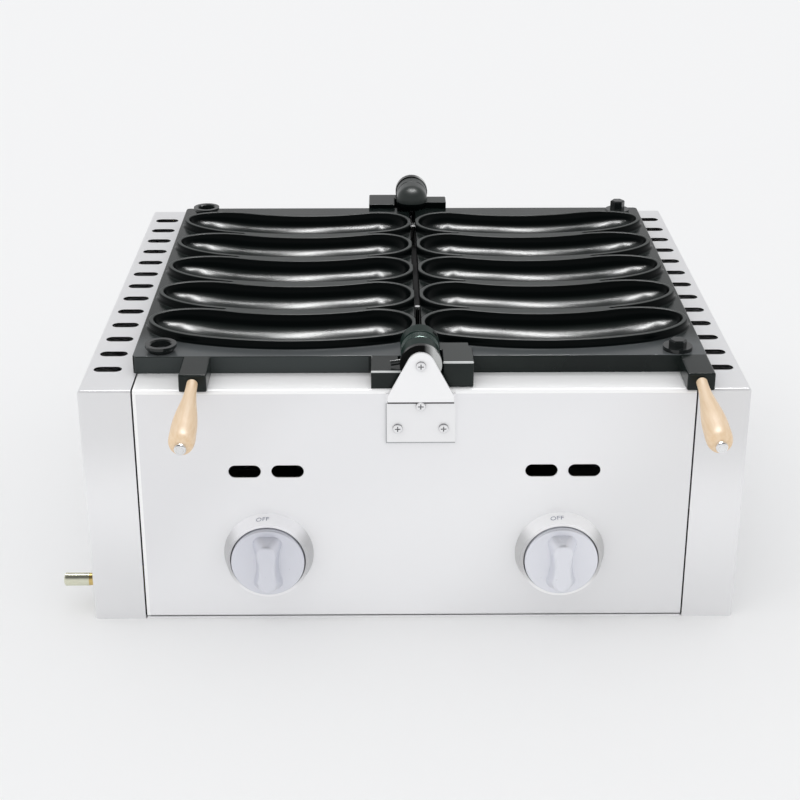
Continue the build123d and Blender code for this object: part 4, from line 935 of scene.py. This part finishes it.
for side, x in (("left", -knob_distance), ("right", knob_distance)):
    knob_metal = turned_metal("knob_metal_" + side, x, (0.70, 0.71, 0.77), (0.82, 0.83, 0.88), 0.60)
    disc = bar_along_y("disc", x, knob_height, disc_front, disc_back, disc_radius, sides=96)
    choose(disc, "EDGE", lambda corners: all(
        abs(corner.y - disc_front) < 0.00001 for corner in corners))
    bpy.ops.mesh.bevel(offset=disc_rounding, segments=5, affect="EDGES")
    bpy.ops.object.mode_set(mode="OBJECT")
    rings = [grip_ring(x, height) for height in (-0.001, 0.001, 0.004, 0.007, 0.010)]
    for step in range(rounding_steps + 1):
        angle = pi * step / (2 * rounding_steps)
        rings.append(grip_ring(x, grip_top + grip_rounding * sin(angle),
                               grip_rounding * (1 - cos(angle))))
    knob = combine(disc, [loft("grip", rings)], "UNION")
    combine(knob, [bar_along_y("socket", x, knob_height, socket_end, -0.26, socket_radius)],
            "DIFFERENCE")
    finish_piece(knob, "gas_knob_" + side, side + "_knob", knob_metal, "knob_metal", "knob_" + side)
    # Painted light on the bezels: near white at top and bottom, with painted shade at their sides.
    bezel_metal = turned_metal("bezel_metal_" + side, x, (0.97, 0.97, 0.99), (1.0, 1.0, 1.0), 0.20)
    shade_along(bezel_metal, 0.0, 1.0, [(0.037, 1.0), (0.060, 0.58), (0.082, 0.58), (0.097, 1.0)])
    dress_node("knob_bezel_" + side, bezel_metal)
    print_word("OFF", "closed_mark_" + side, x)

# Gas side. The inlet, the rail and the taps behind the knobs are machined from brass, and the
# hose nipple is a plated tube. The burners are cast-iron tubes, and their air shutters and the
# taps' springs are bright steel.
brass = satin_steel("brass", (0.56, 0.40, 0.14), (0.78, 0.60, 0.26), (10.0, 10.0, 10.0), 0.30)
plated_tube = satin_steel("plated_tube", (0.66, 0.66, 0.50), (0.82, 0.82, 0.70),
                          (1.0, 20.0, 20.0), 0.28)
burner_iron, burner_tree, burner_shader = new_finish("burner_iron", (0.05, 0.045, 0.04), 0.7)
burner_clouds = grained_noise(burner_tree, (1.0, 1.0, 1.0), 30.0, 4.0)
blend_colours(burner_tree, burner_shader, burner_clouds, (0.03, 0.028, 0.026), (0.09, 0.08, 0.07))
for name in ("gas_inlet_fitting", "rail_end_plug", "gas_rail"):
    dress_node(name, brass)
dress_node("gas_hose_nipple", plated_tube)
for side in ("left", "right"):
    for piece in ("valve_body_", "valve_gland_", "tap_plug_", "valve_spindle_"):
        dress_node(piece + side, brass)
    dress_node("valve_spring_" + side, bright_steel)
    dress_node("burner_" + side, burner_iron)
    dress_node("air_shutter_" + side, bright_steel)
